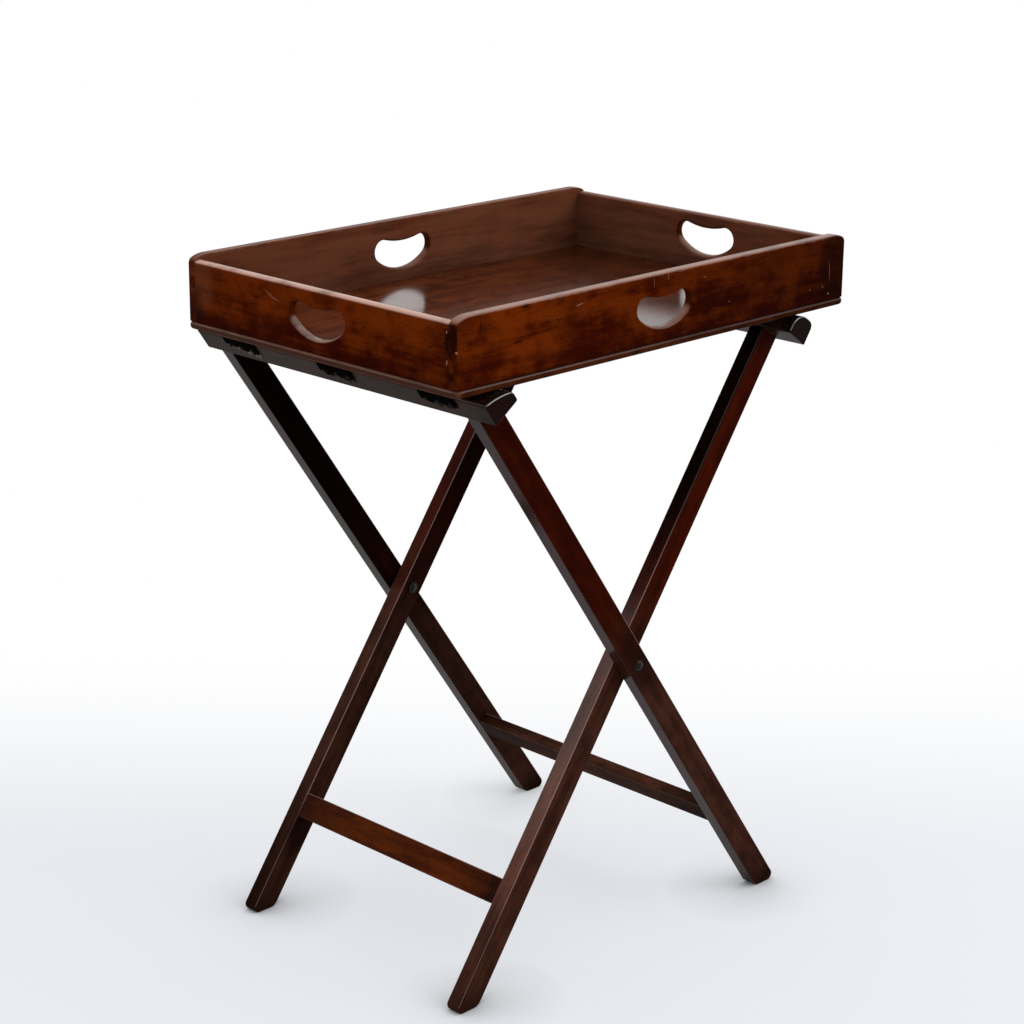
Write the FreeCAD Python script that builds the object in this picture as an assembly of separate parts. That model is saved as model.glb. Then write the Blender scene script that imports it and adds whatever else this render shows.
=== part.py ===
"""A butlers tray on its folding stand.

A rectangular tray with dovetailed corners and kidney-shaped hand-holes rests on three webbing straps.
The straps run over the top rails of a stand made of two crossing frames.
The frames fold on a pin at each crossing.

The frame of the part: X runs along the tray's long side, Y along its short side and Z up from the floor.
All sizes are in millimetres.
"""

import FreeCAD
import Part

import math
import os

Vector = FreeCAD.Vector

# Where the tray stands
wall_seat_height = 770.0
tray_shift_y = -11.3
stand_shift_x = -10.8

# Tray walls
tray_length = 663.0
tray_width = 448.0
wall_thickness = 12.5
long_wall_height = 79.0
short_wall_height = 73.0
long_top_round = 2.5
short_top_round = 5.0
short_inner_round = 4.0
wall_end_round = 8.0
wall_dip_length = 21.0

# Dovetails at the tray's corners, lapped so that the long walls' faces stay whole
dovetail_places_shares = (0.19, 0.5, 0.81)
dovetail_root_height = 12.5
dovetail_tip_height = 8.5
dovetail_lap = 4.0
glue_gap = 0.05

# Kidney-shaped hand-holes, with the right wall's one cut off the middle
hole_length = 92.0
hole_height = 39.0
hole_lobe_radius = 14.0
hole_dip = 4.5
hole_above_seat = 16.0
hole_rim_round = 4.2
right_hole_shift = -10.0
right_hole_lift = 4.5

# Tray bottom board, with a floor that stands a little above the walls' seat
base_thickness = 9.5
base_overhang = 1.5
base_corner_radius = 8.0
base_nose_round = 4.2
floor_rise = 1.0

# Screws that hold the bottom board
screw_head_diameter = 7.5
screw_head_height = 3.0
screw_shank_diameter = 3.6
screw_length = 22.0
screw_inset = 7.5
screw_slot_width = 1.0
screw_slot_depth = 1.2
screw_slot_turn = 37.0
long_wall_screws_shares = (-0.82, -0.3, 0.3, 0.82)
short_wall_screws_shares = (-0.45, 0.45)

# Crossing legs
pivot_height = 370.7
leg_angle = 35.2
leg_width = 32.4
leg_thickness = 20.0
outer_legs_span = 436.0
leg_edge_round = 1.4
foot_toe_round = 7.5
foot_heel_round = 14.0

# Top rails: the left one is broad, with a top that lies nearly level, and the right one has a round top
left_rail_overhang = 26.0
left_rail_width = 39.8
left_rail_height = 30.5
left_rail_top_tilt = 31.0
left_rail_crown_radius = 10.0
left_rail_outer_round = 3.0
right_rail_overhang = 44.3
right_rail_width = 36.0
right_rail_height = 28.7
right_rail_top_tilt = 5.0
right_rail_crown_radius = 19.5
right_rail_outer_round = 9.0
rail_top_radius = 110.0
rail_lower_round = 3.0
rail_end_round = 1.8

# Stretchers
outer_stretcher_below_pivot = 293.5
inner_stretcher_below_pivot = 311.0
outer_stretcher_height = 29.5
inner_stretcher_height = 32.0
stretcher_thickness = 16.0
stretcher_set_back = 0.6
stretcher_edge_round = 1.4

# Mortise and tenon joints
leg_tenon_width = 18.0
leg_tenon_thickness = 9.0
leg_tenon_depth = 15.0
stretcher_tenon_height = 20.0
stretcher_tenon_thickness = 8.0
stretcher_tenon_depth = 11.0
joint_gap = 0.1

# Pivot pins and their washers
pin_diameter = 8.0
pin_head_diameter = 14.0
pin_head_height = 3.5
pin_tail_diameter = 10.5
pin_tail_height = 2.2
running_clearance = 0.05
side_play = 0.15
spacer_diameter = 22.0
spacer_thickness = 4.0
burr_diameter = 16.0
burr_thickness = 1.6

# Webbing straps and their tacks
strap_width = 57.0
strap_thickness = 2.0
strap_spacing = 166.0
strap_tail_length = 15.0
strap_seat_gap = 0.1
strap_span_gap = 0.3
tray_seat_gap = 0.3
tack_head_diameter = 6.0
tack_head_height = 1.5
tack_shank_diameter = 1.8
tack_length = 8.0
tack_places_shares = (-0.34, 0.0, 0.34)
tack_height_share = 0.55

# How far a cutting shape runs past what it cuts
overrun = 5.0

# Limits on rounding, as shares of a thickness
nose_limit_share = 0.45
rim_limit_share = 0.35

# Worked out from the sizes above
lean_sin = math.sin(math.radians(leg_angle))
lean_cos = math.cos(math.radians(leg_angle))
leg_half = leg_width / 2
outer_legs_face = outer_legs_span / 2
inner_legs_face = outer_legs_face - leg_thickness - spacer_thickness - 2 * side_play
left_rail_length = 2 * (outer_legs_face + left_rail_overhang)
right_rail_length = 2 * (inner_legs_face + right_rail_overhang)
tray_underside = wall_seat_height - base_thickness
strap_top = tray_underside - tray_seat_gap
rail_top_height = strap_top - strap_thickness - strap_seat_gap
spacer_inner_y = inner_legs_face + side_play
burr_inner_y = inner_legs_face - leg_thickness - side_play - burr_thickness
STRAPS = {"near": -strap_spacing, "middle": 0, "far": strap_spacing}

ORIGIN = Vector(0, 0, 0)
ALONG_X = Vector(1, 0, 0)
ALONG_Y = Vector(0, 1, 0)
ALONG_Z = Vector(0, 0, 1)
FULL_TURN = 360
QUARTER_TURN = 90
NEAR, FAR = -1, 1
OUTER, INNER = -1, 1


def block(low, high):
    """A box between two corners."""
    size = high.sub(low)
    return Part.makeBox(size.x, size.y, size.z, low)


def line(start, end):
    """A straight edge."""
    return Part.LineSegment(start, end).toShape()


def arc(start, middle, end):
    """A round edge through three points."""
    return Part.Arc(start, middle, end).toShape()


def turned(centre, radius, degrees):
    """The point on a circle in the XZ plane, with the angle counted from +X towards +Z."""
    angle = math.radians(degrees)
    return centre.add(Vector(radius * math.cos(angle), 0, radius * math.sin(angle)))


def arc_about(centre, radius, first, last):
    """A round edge in the XZ plane about a centre, between two angles."""
    return arc(
        turned(centre, radius, first),
        turned(centre, radius, (first + last) / 2),
        turned(centre, radius, last),
    )


def plate(edges, first_y, last_y):
    """A solid between two values of Y, from a closed outline in the XZ plane."""
    face = Part.Face(Part.Wire(Part.__sortEdges__(edges)))
    solid = face.extrude(Vector(0, last_y - first_y, 0))
    solid.translate(Vector(0, first_y, 0))
    return solid


def outline(points):
    """The straight edges of a closed outline."""
    return [line(a, b) for a, b in zip(points, points[1:] + points[:1])]


def flipped(point):
    """The mirror image of a point across the YZ plane."""
    return Vector(-point.x, point.y, point.z)


def angle_of(vector):
    """The angle of a vector in the XZ plane, counted from +X towards +Z."""
    return math.degrees(math.atan2(vector.z, vector.x))


def edges_where(shape, test):
    """The edges whose middle point passes a test."""
    return [e for e in shape.Edges if test(e.valueAt((e.FirstParameter + e.LastParameter) / 2), e)]


def is_at(value, wanted):
    """True where two lengths are the same."""
    return math.isclose(value, wanted, abs_tol=glue_gap)


def runs_along(edge, axis):
    """True where an edge is straight and lies along an axis."""
    if not isinstance(edge.Curve, Part.Line):
        return False
    return abs(edge.tangentAt(edge.FirstParameter).dot(axis)) > math.cos(math.radians(1))


def dome(diameter, height):
    """A low dome that stands on the XY plane."""
    radius = ((diameter / 2) ** 2 + height ** 2) / (2 * height)
    rim = math.degrees(math.asin((radius - height) / radius))
    return Part.makeSphere(radius, Vector(0, 0, height - radius), ALONG_Z, rim, QUARTER_TURN, FULL_TURN)


def ring(outer_diameter, inner_diameter, thickness):
    """A flat washer that stands on the XY plane."""
    bore = Part.makeCylinder(inner_diameter / 2, thickness)
    return Part.makeCylinder(outer_diameter / 2, thickness).cut(bore)


def facing(shape, direction, place):
    """Turn a shape made along Z to another direction and move it to its place."""
    placed = shape.copy()
    turn = FreeCAD.Rotation(ALONG_Z, direction)
    placed.Placement = FreeCAD.Placement(place, turn).multiply(placed.Placement)
    return placed


def mirrored(shape, axis):
    """The mirror image of a shape across the plane through the origin square to an axis."""
    return shape.mirror(ORIGIN, axis)


def in_tray(shape):
    """Move a shape from the tray's own frame, centred on the walls' seat, to its place."""
    placed = shape.copy()
    placed.translate(Vector(0, tray_shift_y, wall_seat_height))
    return placed


def in_stand(shape, frame):
    """Lean a frame's piece from the upright, where X points out of the stand, to its place."""
    placed = shape.copy() if frame == INNER else mirrored(shape, ALONG_X)
    placed.rotate(ORIGIN, ALONG_Y, frame * leg_angle)
    placed.translate(Vector(stand_shift_x, 0, pivot_height))
    return placed


def kidney(first_y, last_y):
    """The cutter of a hand-hole: two lobes joined by a full belly below and a shallow dip above."""
    lobe_height = hole_above_seat + hole_height - hole_lobe_radius
    lobe = Vector(hole_length / 2 - hole_lobe_radius, 0, lobe_height)
    drop = lobe.z - hole_above_seat
    lift = hole_lobe_radius - hole_dip
    belly_radius = (lobe.x ** 2 + drop ** 2 - hole_lobe_radius ** 2) / (2 * (drop - hole_lobe_radius))
    bridge_radius = (lobe.x ** 2 + lift ** 2 - hole_lobe_radius ** 2) / (2 * (hole_lobe_radius - lift))
    belly = Vector(0, 0, hole_above_seat + belly_radius)
    bridge = Vector(0, 0, lobe.z + lift + bridge_radius)
    low = angle_of(lobe.sub(belly))
    high = angle_of(bridge.sub(lobe))
    below = turned(lobe, hole_lobe_radius, low)
    beside = turned(lobe, hole_lobe_radius, (low + high) / 2)
    above = turned(lobe, hole_lobe_radius, high)
    edges = [
        arc(below, beside, above),
        arc(above, Vector(0, 0, lobe.z + lift), flipped(above)),
        arc(flipped(above), flipped(beside), flipped(below)),
        arc(flipped(below), Vector(0, 0, hole_above_seat), below),
    ]
    return plate(edges, first_y, last_y)


def with_hand_hole(wall, cutter, through):
    """Cut a hand-hole through a wall along an axis and round its rim on both faces."""
    holed = wall.cut(cutter)
    around = cutter.BoundBox
    around.enlarge(glue_gap)
    rims = edges_where(holed, lambda m, e: around.isInside(m) and not runs_along(e, through))
    return holed.makeFillet(min(hole_rim_round, rim_limit_share * wall_thickness), rims)


def screw_places():
    """The screws' places under the four walls."""
    screw_x = tray_length / 2 - screw_inset
    screw_y = tray_width / 2 - screw_inset
    places = []
    for side in (NEAR, FAR):
        places += [Vector(share * screw_x, side * screw_y, 0) for share in long_wall_screws_shares]
        places += [Vector(side * screw_x, share * screw_y, 0) for share in short_wall_screws_shares]
    return places


def screws(spare):
    """The bottom board's countersunk screws, grown by a spare width where they are cut out as holes."""
    radius = screw_shank_diameter / 2 + spare
    point_length = screw_shank_diameter
    point_start = screw_length - point_length
    head = Part.makeCone(screw_head_diameter / 2 + spare, radius, screw_head_height)
    shank = Part.makeCylinder(radius, point_start)
    point = Part.makeCone(radius, spare, point_length, Vector(0, 0, point_start))
    screw = head.fuse([shank, point]).removeSplitter()
    screw.translate(Vector(0, 0, -base_thickness))
    return [facing(screw, ALONG_Z, place) for place in screw_places()]


def slotted_screws():
    """The bottom board's screws, with a slot across each head for the driver."""
    reach = screw_head_diameter / 2 + overrun
    low = Vector(-reach, -screw_slot_width / 2, -base_thickness - overrun)
    slot = block(low, Vector(reach, screw_slot_width / 2, screw_slot_depth - base_thickness))
    made = []
    for number, (screw, place) in enumerate(zip(screws(0), screw_places())):
        cutter = slot.copy()
        cutter.rotate(ORIGIN, ALONG_Z, number * screw_slot_turn)
        cutter.translate(place)
        made.append(screw.cut(cutter))
    return made


def tray_base():
    """The bottom board: a rounded nose all round, a floor that fits between the walls, and screw holes."""
    reach = Vector(tray_length / 2 + base_overhang, tray_width / 2 + base_overhang, 0)
    board = block(Vector(-reach.x, -reach.y, -base_thickness), reach)
    board = board.makeFillet(base_corner_radius, edges_where(board, lambda m, e: runs_along(e, ALONG_Z)))
    nose = min(base_nose_round, nose_limit_share * base_thickness)
    rims = edges_where(board, lambda m, e: is_at(m.z, 0) or is_at(m.z, -base_thickness))
    edge = Vector(tray_length / 2 - wall_thickness - glue_gap, tray_width / 2 - wall_thickness - glue_gap, 0)
    floor = block(Vector(-edge.x, -edge.y, -floor_rise), Vector(edge.x, edge.y, floor_rise))
    return board.makeFillet(nose, rims).fuse(floor).removeSplitter().cut(screws(glue_gap))


def long_wall_blank():
    """The front wall before its dovetails: its top dips at both ends to the height of the short walls."""
    half = tray_length / 2
    drop = long_wall_height - short_wall_height
    dip_radius = (wall_dip_length ** 2 + drop ** 2) / (2 * drop)
    dip = Vector(half - wall_dip_length, 0, long_wall_height - dip_radius)
    foot = Vector(half, 0, 0)
    corner = Vector(half, 0, short_wall_height)
    shoulder = Vector(dip.x, 0, long_wall_height)
    between = turned(dip, dip_radius, (angle_of(corner.sub(dip)) + QUARTER_TURN) / 2)
    edges = [
        line(flipped(foot), foot),
        line(foot, corner),
        arc(corner, between, shoulder),
        line(shoulder, flipped(shoulder)),
        arc(flipped(shoulder), flipped(between), flipped(corner)),
        line(flipped(corner), flipped(foot)),
    ]
    outer_y = -tray_width / 2
    inner_y = outer_y + wall_thickness
    wall = plate(edges, outer_y, inner_y)
    corners = edges_where(wall, lambda m, e: runs_along(e, ALONG_Y) and is_at(m.z, short_wall_height))
    wall = wall.makeFillet(wall_end_round, corners)
    rims = edges_where(wall, lambda m, e: is_at(m.y, outer_y) and m.z > short_wall_height / 2)
    wall = wall.makeFillet(long_top_round, rims)
    return with_hand_hole(wall, kidney(outer_y - overrun, inner_y + overrun), ALONG_Y)


def dovetails(spare):
    """The right end wall's pins in the front wall, grown by a spare width where they are cut as sockets."""
    tip_x = tray_length / 2
    root_x = tip_x - wall_thickness
    flare = (dovetail_root_height - dovetail_tip_height) / (2 * wall_thickness)
    outer_y = -tray_width / 2
    pins = []
    for share in dovetail_places_shares:
        middle = share * short_wall_height
        root = dovetail_root_height / 2 + flare * spare + spare
        tip = dovetail_tip_height / 2 - flare * spare + spare
        points = [
            Vector(root_x - spare, 0, middle - root),
            Vector(tip_x + spare, 0, middle - tip),
            Vector(tip_x + spare, 0, middle + tip),
            Vector(root_x - spare, 0, middle + root),
        ]
        lap_y = outer_y + dovetail_lap
        pins.append(plate(outline(points), lap_y - spare, outer_y + wall_thickness + spare))
    return pins


def long_wall(blank):
    """The front wall, with sockets for the end walls' pins and holes for the screws."""
    right_sockets = dovetails(glue_gap)
    left_sockets = [mirrored(socket, ALONG_X) for socket in right_sockets]
    return blank.cut(right_sockets + left_sockets + screws(glue_gap))


def short_wall(blank, hole_shift, hole_lift):
    """The right end wall, with its dovetail pins at both ends, its hand-hole and holes for the screws."""
    outer_x = tray_length / 2
    inner_x = outer_x - wall_thickness
    end_y = tray_width / 2 - wall_thickness
    wall = block(Vector(inner_x, -end_y, 0), Vector(outer_x, end_y, short_wall_height))
    for edge_x, edge_round in ((outer_x, short_top_round), (inner_x, short_inner_round)):
        edges = edges_where(wall, lambda m, e: runs_along(e, ALONG_Y) and is_at(m.x, edge_x) and m.z > 0)
        wall = wall.makeFillet(edge_round, edges)
    cutter = kidney(-outer_x - overrun, -inner_x + overrun)
    cutter.rotate(ORIGIN, ALONG_Z, QUARTER_TURN)
    cutter.translate(Vector(0, hole_shift, hole_lift))
    wall = with_hand_hole(wall, cutter, ALONG_X)
    pins = [blank.common(pin) for pin in dovetails(0)]
    pins += [mirrored(pin, ALONG_Y) for pin in pins]
    return wall.fuse(pins).removeSplitter().cut(screws(glue_gap))


class RailSection:
    """A top rail's outline in its frame's upright axes, with its highest line under the straps."""

    def __init__(self, width, height, top_tilt, crown_radius, outer_round):
        """Find the centres of the three roundings of the top, and the seat on the legs."""
        self.inner_x = leg_half - width
        self.crown_radius = crown_radius
        self.outer_round = outer_round
        self.crest = QUARTER_TURN + top_tilt
        crown_x = self.inner_x + crown_radius
        crown_rise = rail_top_height - crown_radius - pivot_height
        self.crown = Vector(crown_x, 0, (crown_rise + crown_x * lean_sin) / lean_cos)
        self.top = turned(self.crown, crown_radius - rail_top_radius, self.crest)
        edge_x = leg_half - outer_round
        edge_run = rail_top_radius - outer_round
        self.edge = Vector(edge_x, 0, self.top.z + math.sqrt(edge_run ** 2 - (edge_x - self.top.x) ** 2))
        self.bend = angle_of(self.edge.sub(self.top))
        corner_z = self.top.z + math.sqrt(rail_top_radius ** 2 - (leg_half - self.top.x) ** 2)
        self.seat = corner_z - height
        self.reach = crown_x * lean_cos + self.crown.z * lean_sin

    def over(self, lift, last):
        """The edges over the rail's top at a lift above it, from the outer face to an angle on the crown."""
        return [
            arc_about(self.edge, self.outer_round + lift, 0, self.bend),
            arc_about(self.top, rail_top_radius + lift, self.bend, self.crest),
            arc_about(self.crown, self.crown_radius + lift, self.crest, last),
        ]


RAIL_SECTIONS = {
    OUTER: RailSection(
        left_rail_width,
        left_rail_height,
        left_rail_top_tilt,
        left_rail_crown_radius,
        left_rail_outer_round,
    ),
    INNER: RailSection(
        right_rail_width,
        right_rail_height,
        right_rail_top_tilt,
        right_rail_crown_radius,
        right_rail_outer_round,
    ),
}


def foot_line(out):
    """Where a leg meets the floor below the pivot, at a distance out from the leg's middle line."""
    return -(pivot_height - out * lean_sin) / lean_cos


def leg_tenon(seat, face, spare):
    """A near leg's tenon in the rail, grown by a spare width where it is cut as a mortise."""
    middle_y = -face + leg_thickness / 2
    half_x = leg_tenon_width / 2 + spare
    half_y = leg_tenon_thickness / 2 + spare
    top = seat + leg_tenon_depth + spare
    return block(Vector(-half_x, middle_y - half_y, seat), Vector(half_x, middle_y + half_y, top))


def stretcher_middle(frame):
    """The middle of a frame's stretcher: the outer one lies flush outside, the inner one flush inside."""
    out = leg_half - stretcher_set_back - stretcher_thickness / 2
    if frame == OUTER:
        return Vector(out, 0, -outer_stretcher_below_pivot)
    return Vector(-out, 0, -inner_stretcher_below_pivot)


def stretcher_tenon(frame, face, spare):
    """A stretcher's tenon in the near leg, grown by a spare width where it is cut as a mortise."""
    end_y = -face + leg_thickness
    middle = stretcher_middle(frame)
    half_x = stretcher_tenon_thickness / 2 + spare
    half_z = stretcher_tenon_height / 2 + spare
    low = Vector(middle.x - half_x, end_y - stretcher_tenon_depth - spare, middle.z - half_z)
    return block(low, Vector(middle.x + half_x, end_y, middle.z + half_z))


def stretcher(frame, face, height):
    """A cross bar between two legs, with softened long edges and a tenon at each end."""
    end_y = face - leg_thickness
    half = Vector(stretcher_thickness / 2, end_y, height / 2)
    middle = stretcher_middle(frame)
    bar = block(middle.sub(half), middle.add(half))
    bar = bar.makeFillet(stretcher_edge_round, edges_where(bar, lambda m, e: runs_along(e, ALONG_Y)))
    near_tenon = stretcher_tenon(frame, face, 0)
    return bar.fuse([near_tenon, mirrored(near_tenon, ALONG_Y)]).removeSplitter()


def leg(frame, face):
    """A near leg with its tenon, its pin hole, its stretcher mortise and a foot cut level."""
    seat = RAIL_SECTIONS[frame].seat
    outer_y = -face
    inner_y = outer_y + leg_thickness
    points = [
        Vector(-leg_half, 0, seat),
        Vector(leg_half, 0, seat),
        Vector(leg_half, 0, foot_line(leg_half)),
        Vector(-leg_half, 0, foot_line(-leg_half)),
    ]
    bar = plate(outline(points), outer_y, inner_y)
    for foot_x, foot_round in ((-leg_half, foot_toe_round), (leg_half, foot_heel_round)):
        ends = edges_where(bar, lambda m, e: runs_along(e, ALONG_Y) and m.z < 0 and is_at(m.x, foot_x))
        bar = bar.makeFillet(foot_round, ends)
    rims = edges_where(bar, lambda m, e: not runs_along(e, ALONG_Y) and not is_at(m.z, seat))
    bar = bar.makeFillet(leg_edge_round, rims)
    hole = Part.makeCylinder(pin_diameter / 2 + running_clearance, leg_thickness + 2 * overrun)
    hole = facing(hole, ALONG_Y, Vector(0, outer_y - overrun, 0))
    mortise = stretcher_tenon(frame, face, joint_gap)
    return bar.fuse(leg_tenon(seat, face, 0)).removeSplitter().cut([hole, mortise])


def tack_places(section, strap_y):
    """Where a strap's tacks meet the strap's outer face on its rail."""
    out = leg_half + strap_seat_gap + strap_thickness
    up = section.edge.z - tack_height_share * strap_tail_length
    return [Vector(out, strap_y + share * strap_width, up) for share in tack_places_shares]


def tack(place):
    """A tack with a domed head on a strap and its shank through the strap into the rail."""
    shank = Part.makeCylinder(tack_shank_diameter / 2, tack_length, Vector(0, 0, -tack_length))
    return facing(dome(tack_head_diameter, tack_head_height).fuse(shank).removeSplitter(), ALONG_X, place)


def tack_hole(place):
    """The hole for a tack's shank."""
    depth = tack_length + glue_gap
    hole = Part.makeCylinder(tack_shank_diameter / 2 + glue_gap, depth + overrun, Vector(0, 0, -depth))
    return facing(hole, ALONG_X, place)


def rail(section, length, face):
    """A top rail: square outside and below, crowned on top, with mortises for two legs."""
    inner_x, seat, half_turn = section.inner_x, section.seat, 2 * QUARTER_TURN
    edges = [
        line(Vector(inner_x, 0, seat), Vector(leg_half, 0, seat)),
        line(Vector(leg_half, 0, seat), Vector(leg_half, 0, section.edge.z)),
        line(Vector(inner_x, 0, section.crown.z), Vector(inner_x, 0, seat)),
    ]
    bar = plate(edges + section.over(0, half_turn), -length / 2, length / 2)
    lower = edges_where(bar, lambda m, e: runs_along(e, ALONG_Y) and is_at(m.x, inner_x) and is_at(m.z, seat))
    bar = bar.makeFillet(rail_lower_round, lower)
    bar = bar.makeFillet(rail_end_round, edges_where(bar, lambda m, e: is_at(abs(m.y), length / 2)))
    near_mortise = leg_tenon(seat, face, joint_gap)
    holes = [tack_hole(place) for y in STRAPS.values() for place in tack_places(section, y)]
    return bar.cut([near_mortise, mirrored(near_mortise, ALONG_Y)] + holes)


def strap_side(section, lift):
    """One side of a tacked strap end, a lift above the rail: its edges, and its first and last points."""
    start = Vector(leg_half + lift, 0, section.edge.z - strap_tail_length)
    tail = line(start, Vector(leg_half + lift, 0, section.edge.z))
    highest = QUARTER_TURN + leg_angle
    end = turned(section.crown, section.crown_radius + lift, highest)
    return [tail] + section.over(lift, highest), start, end


def strap_end(section, strap_y):
    """A strap's tacked end, from its tail on the rail's outer face to the highest line of the rail."""
    under, under_start, under_end = strap_side(section, strap_seat_gap)
    over, over_start, over_end = strap_side(section, strap_seat_gap + strap_thickness)
    ends = [line(under_start, over_start), line(under_end, over_end)]
    band = plate(under + over + ends, strap_y - strap_width / 2, strap_y + strap_width / 2)
    return band.cut([tack_hole(place) for place in tack_places(section, strap_y)])


def strap_span(strap_y):
    """A strap's free span between the highest lines of the two rails."""
    left_x = stand_shift_x - RAIL_SECTIONS[OUTER].reach + strap_span_gap
    right_x = stand_shift_x + RAIL_SECTIONS[INNER].reach - strap_span_gap
    bottom = rail_top_height + strap_seat_gap
    low = Vector(left_x, strap_y - strap_width / 2, bottom)
    return block(low, Vector(right_x, strap_y + strap_width / 2, bottom + strap_thickness))


def on_pivot(shape, side, out_y):
    """Turn a piece made along Z to point out of the stand on one side, on the pivot's line."""
    return facing(shape, Vector(0, side, 0), Vector(stand_shift_x, side * out_y, pivot_height))


def pivot_pin(side):
    """A riveted pin: a domed head outside the outer leg and a peened tail on the burr washer."""
    head_y = outer_legs_face + side_play
    length = head_y - burr_inner_y
    shaft = Part.makeCylinder(pin_diameter / 2, length, Vector(0, 0, -length))
    tail = facing(dome(pin_tail_diameter, pin_tail_height), -ALONG_Z, Vector(0, 0, -length))
    pin = dome(pin_head_diameter, pin_head_height).fuse([shaft, tail]).removeSplitter()
    return on_pivot(pin, side, head_y)


def washers(diameter, thickness, inner_y):
    """A pair of washers, one on each pin."""
    washer = ring(diameter, pin_diameter + 2 * running_clearance, thickness)
    return Part.makeCompound([on_pivot(washer, side, inner_y) for side in (NEAR, FAR)])


def frame_nodes(frame):
    """The pieces of one crossing frame, by node name."""
    name, rail_side, face, rail_length, bar_height = {
        OUTER: ("outer", "left", outer_legs_face, left_rail_length, outer_stretcher_height),
        INNER: ("inner", "right", inner_legs_face, right_rail_length, inner_stretcher_height),
    }[frame]
    near_leg = leg(frame, face)
    section = RAIL_SECTIONS[frame]
    pieces = {
        f"{rail_side}_top_rail": rail(section, rail_length, face),
        f"{name}_leg_near": near_leg,
        f"{name}_leg_far": mirrored(near_leg, ALONG_Y),
        f"{name}_stretcher": stretcher(frame, face, bar_height),
    }
    tacks = []
    for strap_name, strap_y in STRAPS.items():
        pieces[f"{rail_side}_strap_end_{strap_name}"] = strap_end(section, strap_y)
        tacks += [tack(place) for place in tack_places(section, strap_y)]
    pieces[f"{rail_side}_strap_tacks"] = Part.makeCompound(tacks)
    return {node: in_stand(shape, frame) for node, shape in pieces.items()}


def tray_nodes():
    """The pieces of the tray, by node name."""
    blank = long_wall_blank()
    front = long_wall(blank)
    left = short_wall(blank, 0, 0)
    right = short_wall(blank, right_hole_shift, right_hole_lift)
    pieces = {
        "tray_base": tray_base(),
        "front_wall": front,
        "back_wall": mirrored(front, ALONG_Y),
        "left_end_wall": mirrored(left, ALONG_X),
        "right_end_wall": right,
        "base_screws": Part.makeCompound(slotted_screws()),
    }
    return {node: in_tray(shape) for node, shape in pieces.items()}


def pivot_nodes():
    """The pins and washers that the two frames turn on, by node name."""
    return {
        "pivot_pin_near": pivot_pin(NEAR),
        "pivot_pin_far": pivot_pin(FAR),
        "spacer_washers": washers(spacer_diameter, spacer_thickness, spacer_inner_y),
        "burr_washers": washers(burr_diameter, burr_thickness, burr_inner_y),
    }


def strap_nodes():
    """The straps' free spans, by node name."""
    return {f"strap_{name}": strap_span(y) for name, y in STRAPS.items()}


def main():
    """Build every piece and write it to its own file."""
    nodes = {}
    nodes.update(tray_nodes())
    nodes.update(frame_nodes(OUTER))
    nodes.update(frame_nodes(INNER))
    nodes.update(pivot_nodes())
    nodes.update(strap_nodes())
    os.makedirs("parts", exist_ok=True)
    for node, shape in nodes.items():
        shape.exportStep(f"parts/{node}.step")
        print(node, "solids", len(shape.Solids), "valid", shape.isValid(), "volume", round(shape.Volume))


main()
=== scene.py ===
"""The looks of a butlers tray on its folding stand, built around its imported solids.

The tray, rails, legs and stretchers keep their solids and get polished mahogany. The webbing straps and
their frayed ends are made here. All sizes are in metres, in the part's own frame. Colours are linear red,
green and blue.
"""

import logging
import math
import random
from dataclasses import dataclass, replace
from enum import Enum
from typing import Any, Sequence

import bpy
from mathutils import Matrix, Vector


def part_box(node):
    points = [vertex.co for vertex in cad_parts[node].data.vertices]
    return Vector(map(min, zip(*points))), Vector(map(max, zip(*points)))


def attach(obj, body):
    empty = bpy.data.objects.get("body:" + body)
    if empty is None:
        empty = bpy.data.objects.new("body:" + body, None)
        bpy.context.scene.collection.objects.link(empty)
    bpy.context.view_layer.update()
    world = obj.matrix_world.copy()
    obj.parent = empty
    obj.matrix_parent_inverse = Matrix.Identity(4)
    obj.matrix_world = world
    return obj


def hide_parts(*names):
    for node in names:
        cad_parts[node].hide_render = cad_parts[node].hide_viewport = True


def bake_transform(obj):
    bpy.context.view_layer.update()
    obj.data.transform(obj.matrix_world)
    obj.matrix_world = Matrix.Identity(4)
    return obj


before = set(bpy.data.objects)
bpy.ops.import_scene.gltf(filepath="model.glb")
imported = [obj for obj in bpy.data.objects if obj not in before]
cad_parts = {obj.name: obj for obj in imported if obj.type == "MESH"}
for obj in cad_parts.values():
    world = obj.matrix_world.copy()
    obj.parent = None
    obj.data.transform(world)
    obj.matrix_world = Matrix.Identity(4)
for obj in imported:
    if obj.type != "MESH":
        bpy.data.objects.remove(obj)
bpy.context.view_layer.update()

LOG = logging.getLogger("butlers_tray")

Pair = tuple[float, float]
Triple = tuple[float, float, float]
Socket = bpy.types.NodeSocket

LEG_ANGLE = math.radians(35.2)
PIVOT = Vector((-0.0108, 0.0, 0.3707))
WHITE: Triple = (1.0, 1.0, 1.0)
EVEN: Pair = (1.0, 1.0)


class Lean(Enum):
    """Which way a frame's pieces lean from the upright."""

    OUTER = -1
    INNER = 1


class Grain(Enum):
    """Which way the grain runs in a board, as the turn from the part's axes to the board's own."""

    ALONG_X = (0.0, 0.0, 0.0)
    ALONG_Y = (0.0, 0.0, math.pi / 2)
    OUTER_LEG = (0.0, -(math.pi / 2 + LEG_ANGLE), 0.0)
    INNER_LEG = (0.0, -(math.pi / 2 - LEG_ANGLE), 0.0)
    OUTER_BAR = (-LEG_ANGLE, 0.0, math.pi / 2)
    INNER_BAR = (LEG_ANGLE, 0.0, math.pi / 2)

    def matrix(self) -> Matrix:
        """The turn as a matrix."""
        x, y, z = self.value
        return Matrix.Rotation(z, 3, "Z") @ Matrix.Rotation(y, 3, "Y") @ Matrix.Rotation(x, 3, "X")


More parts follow.
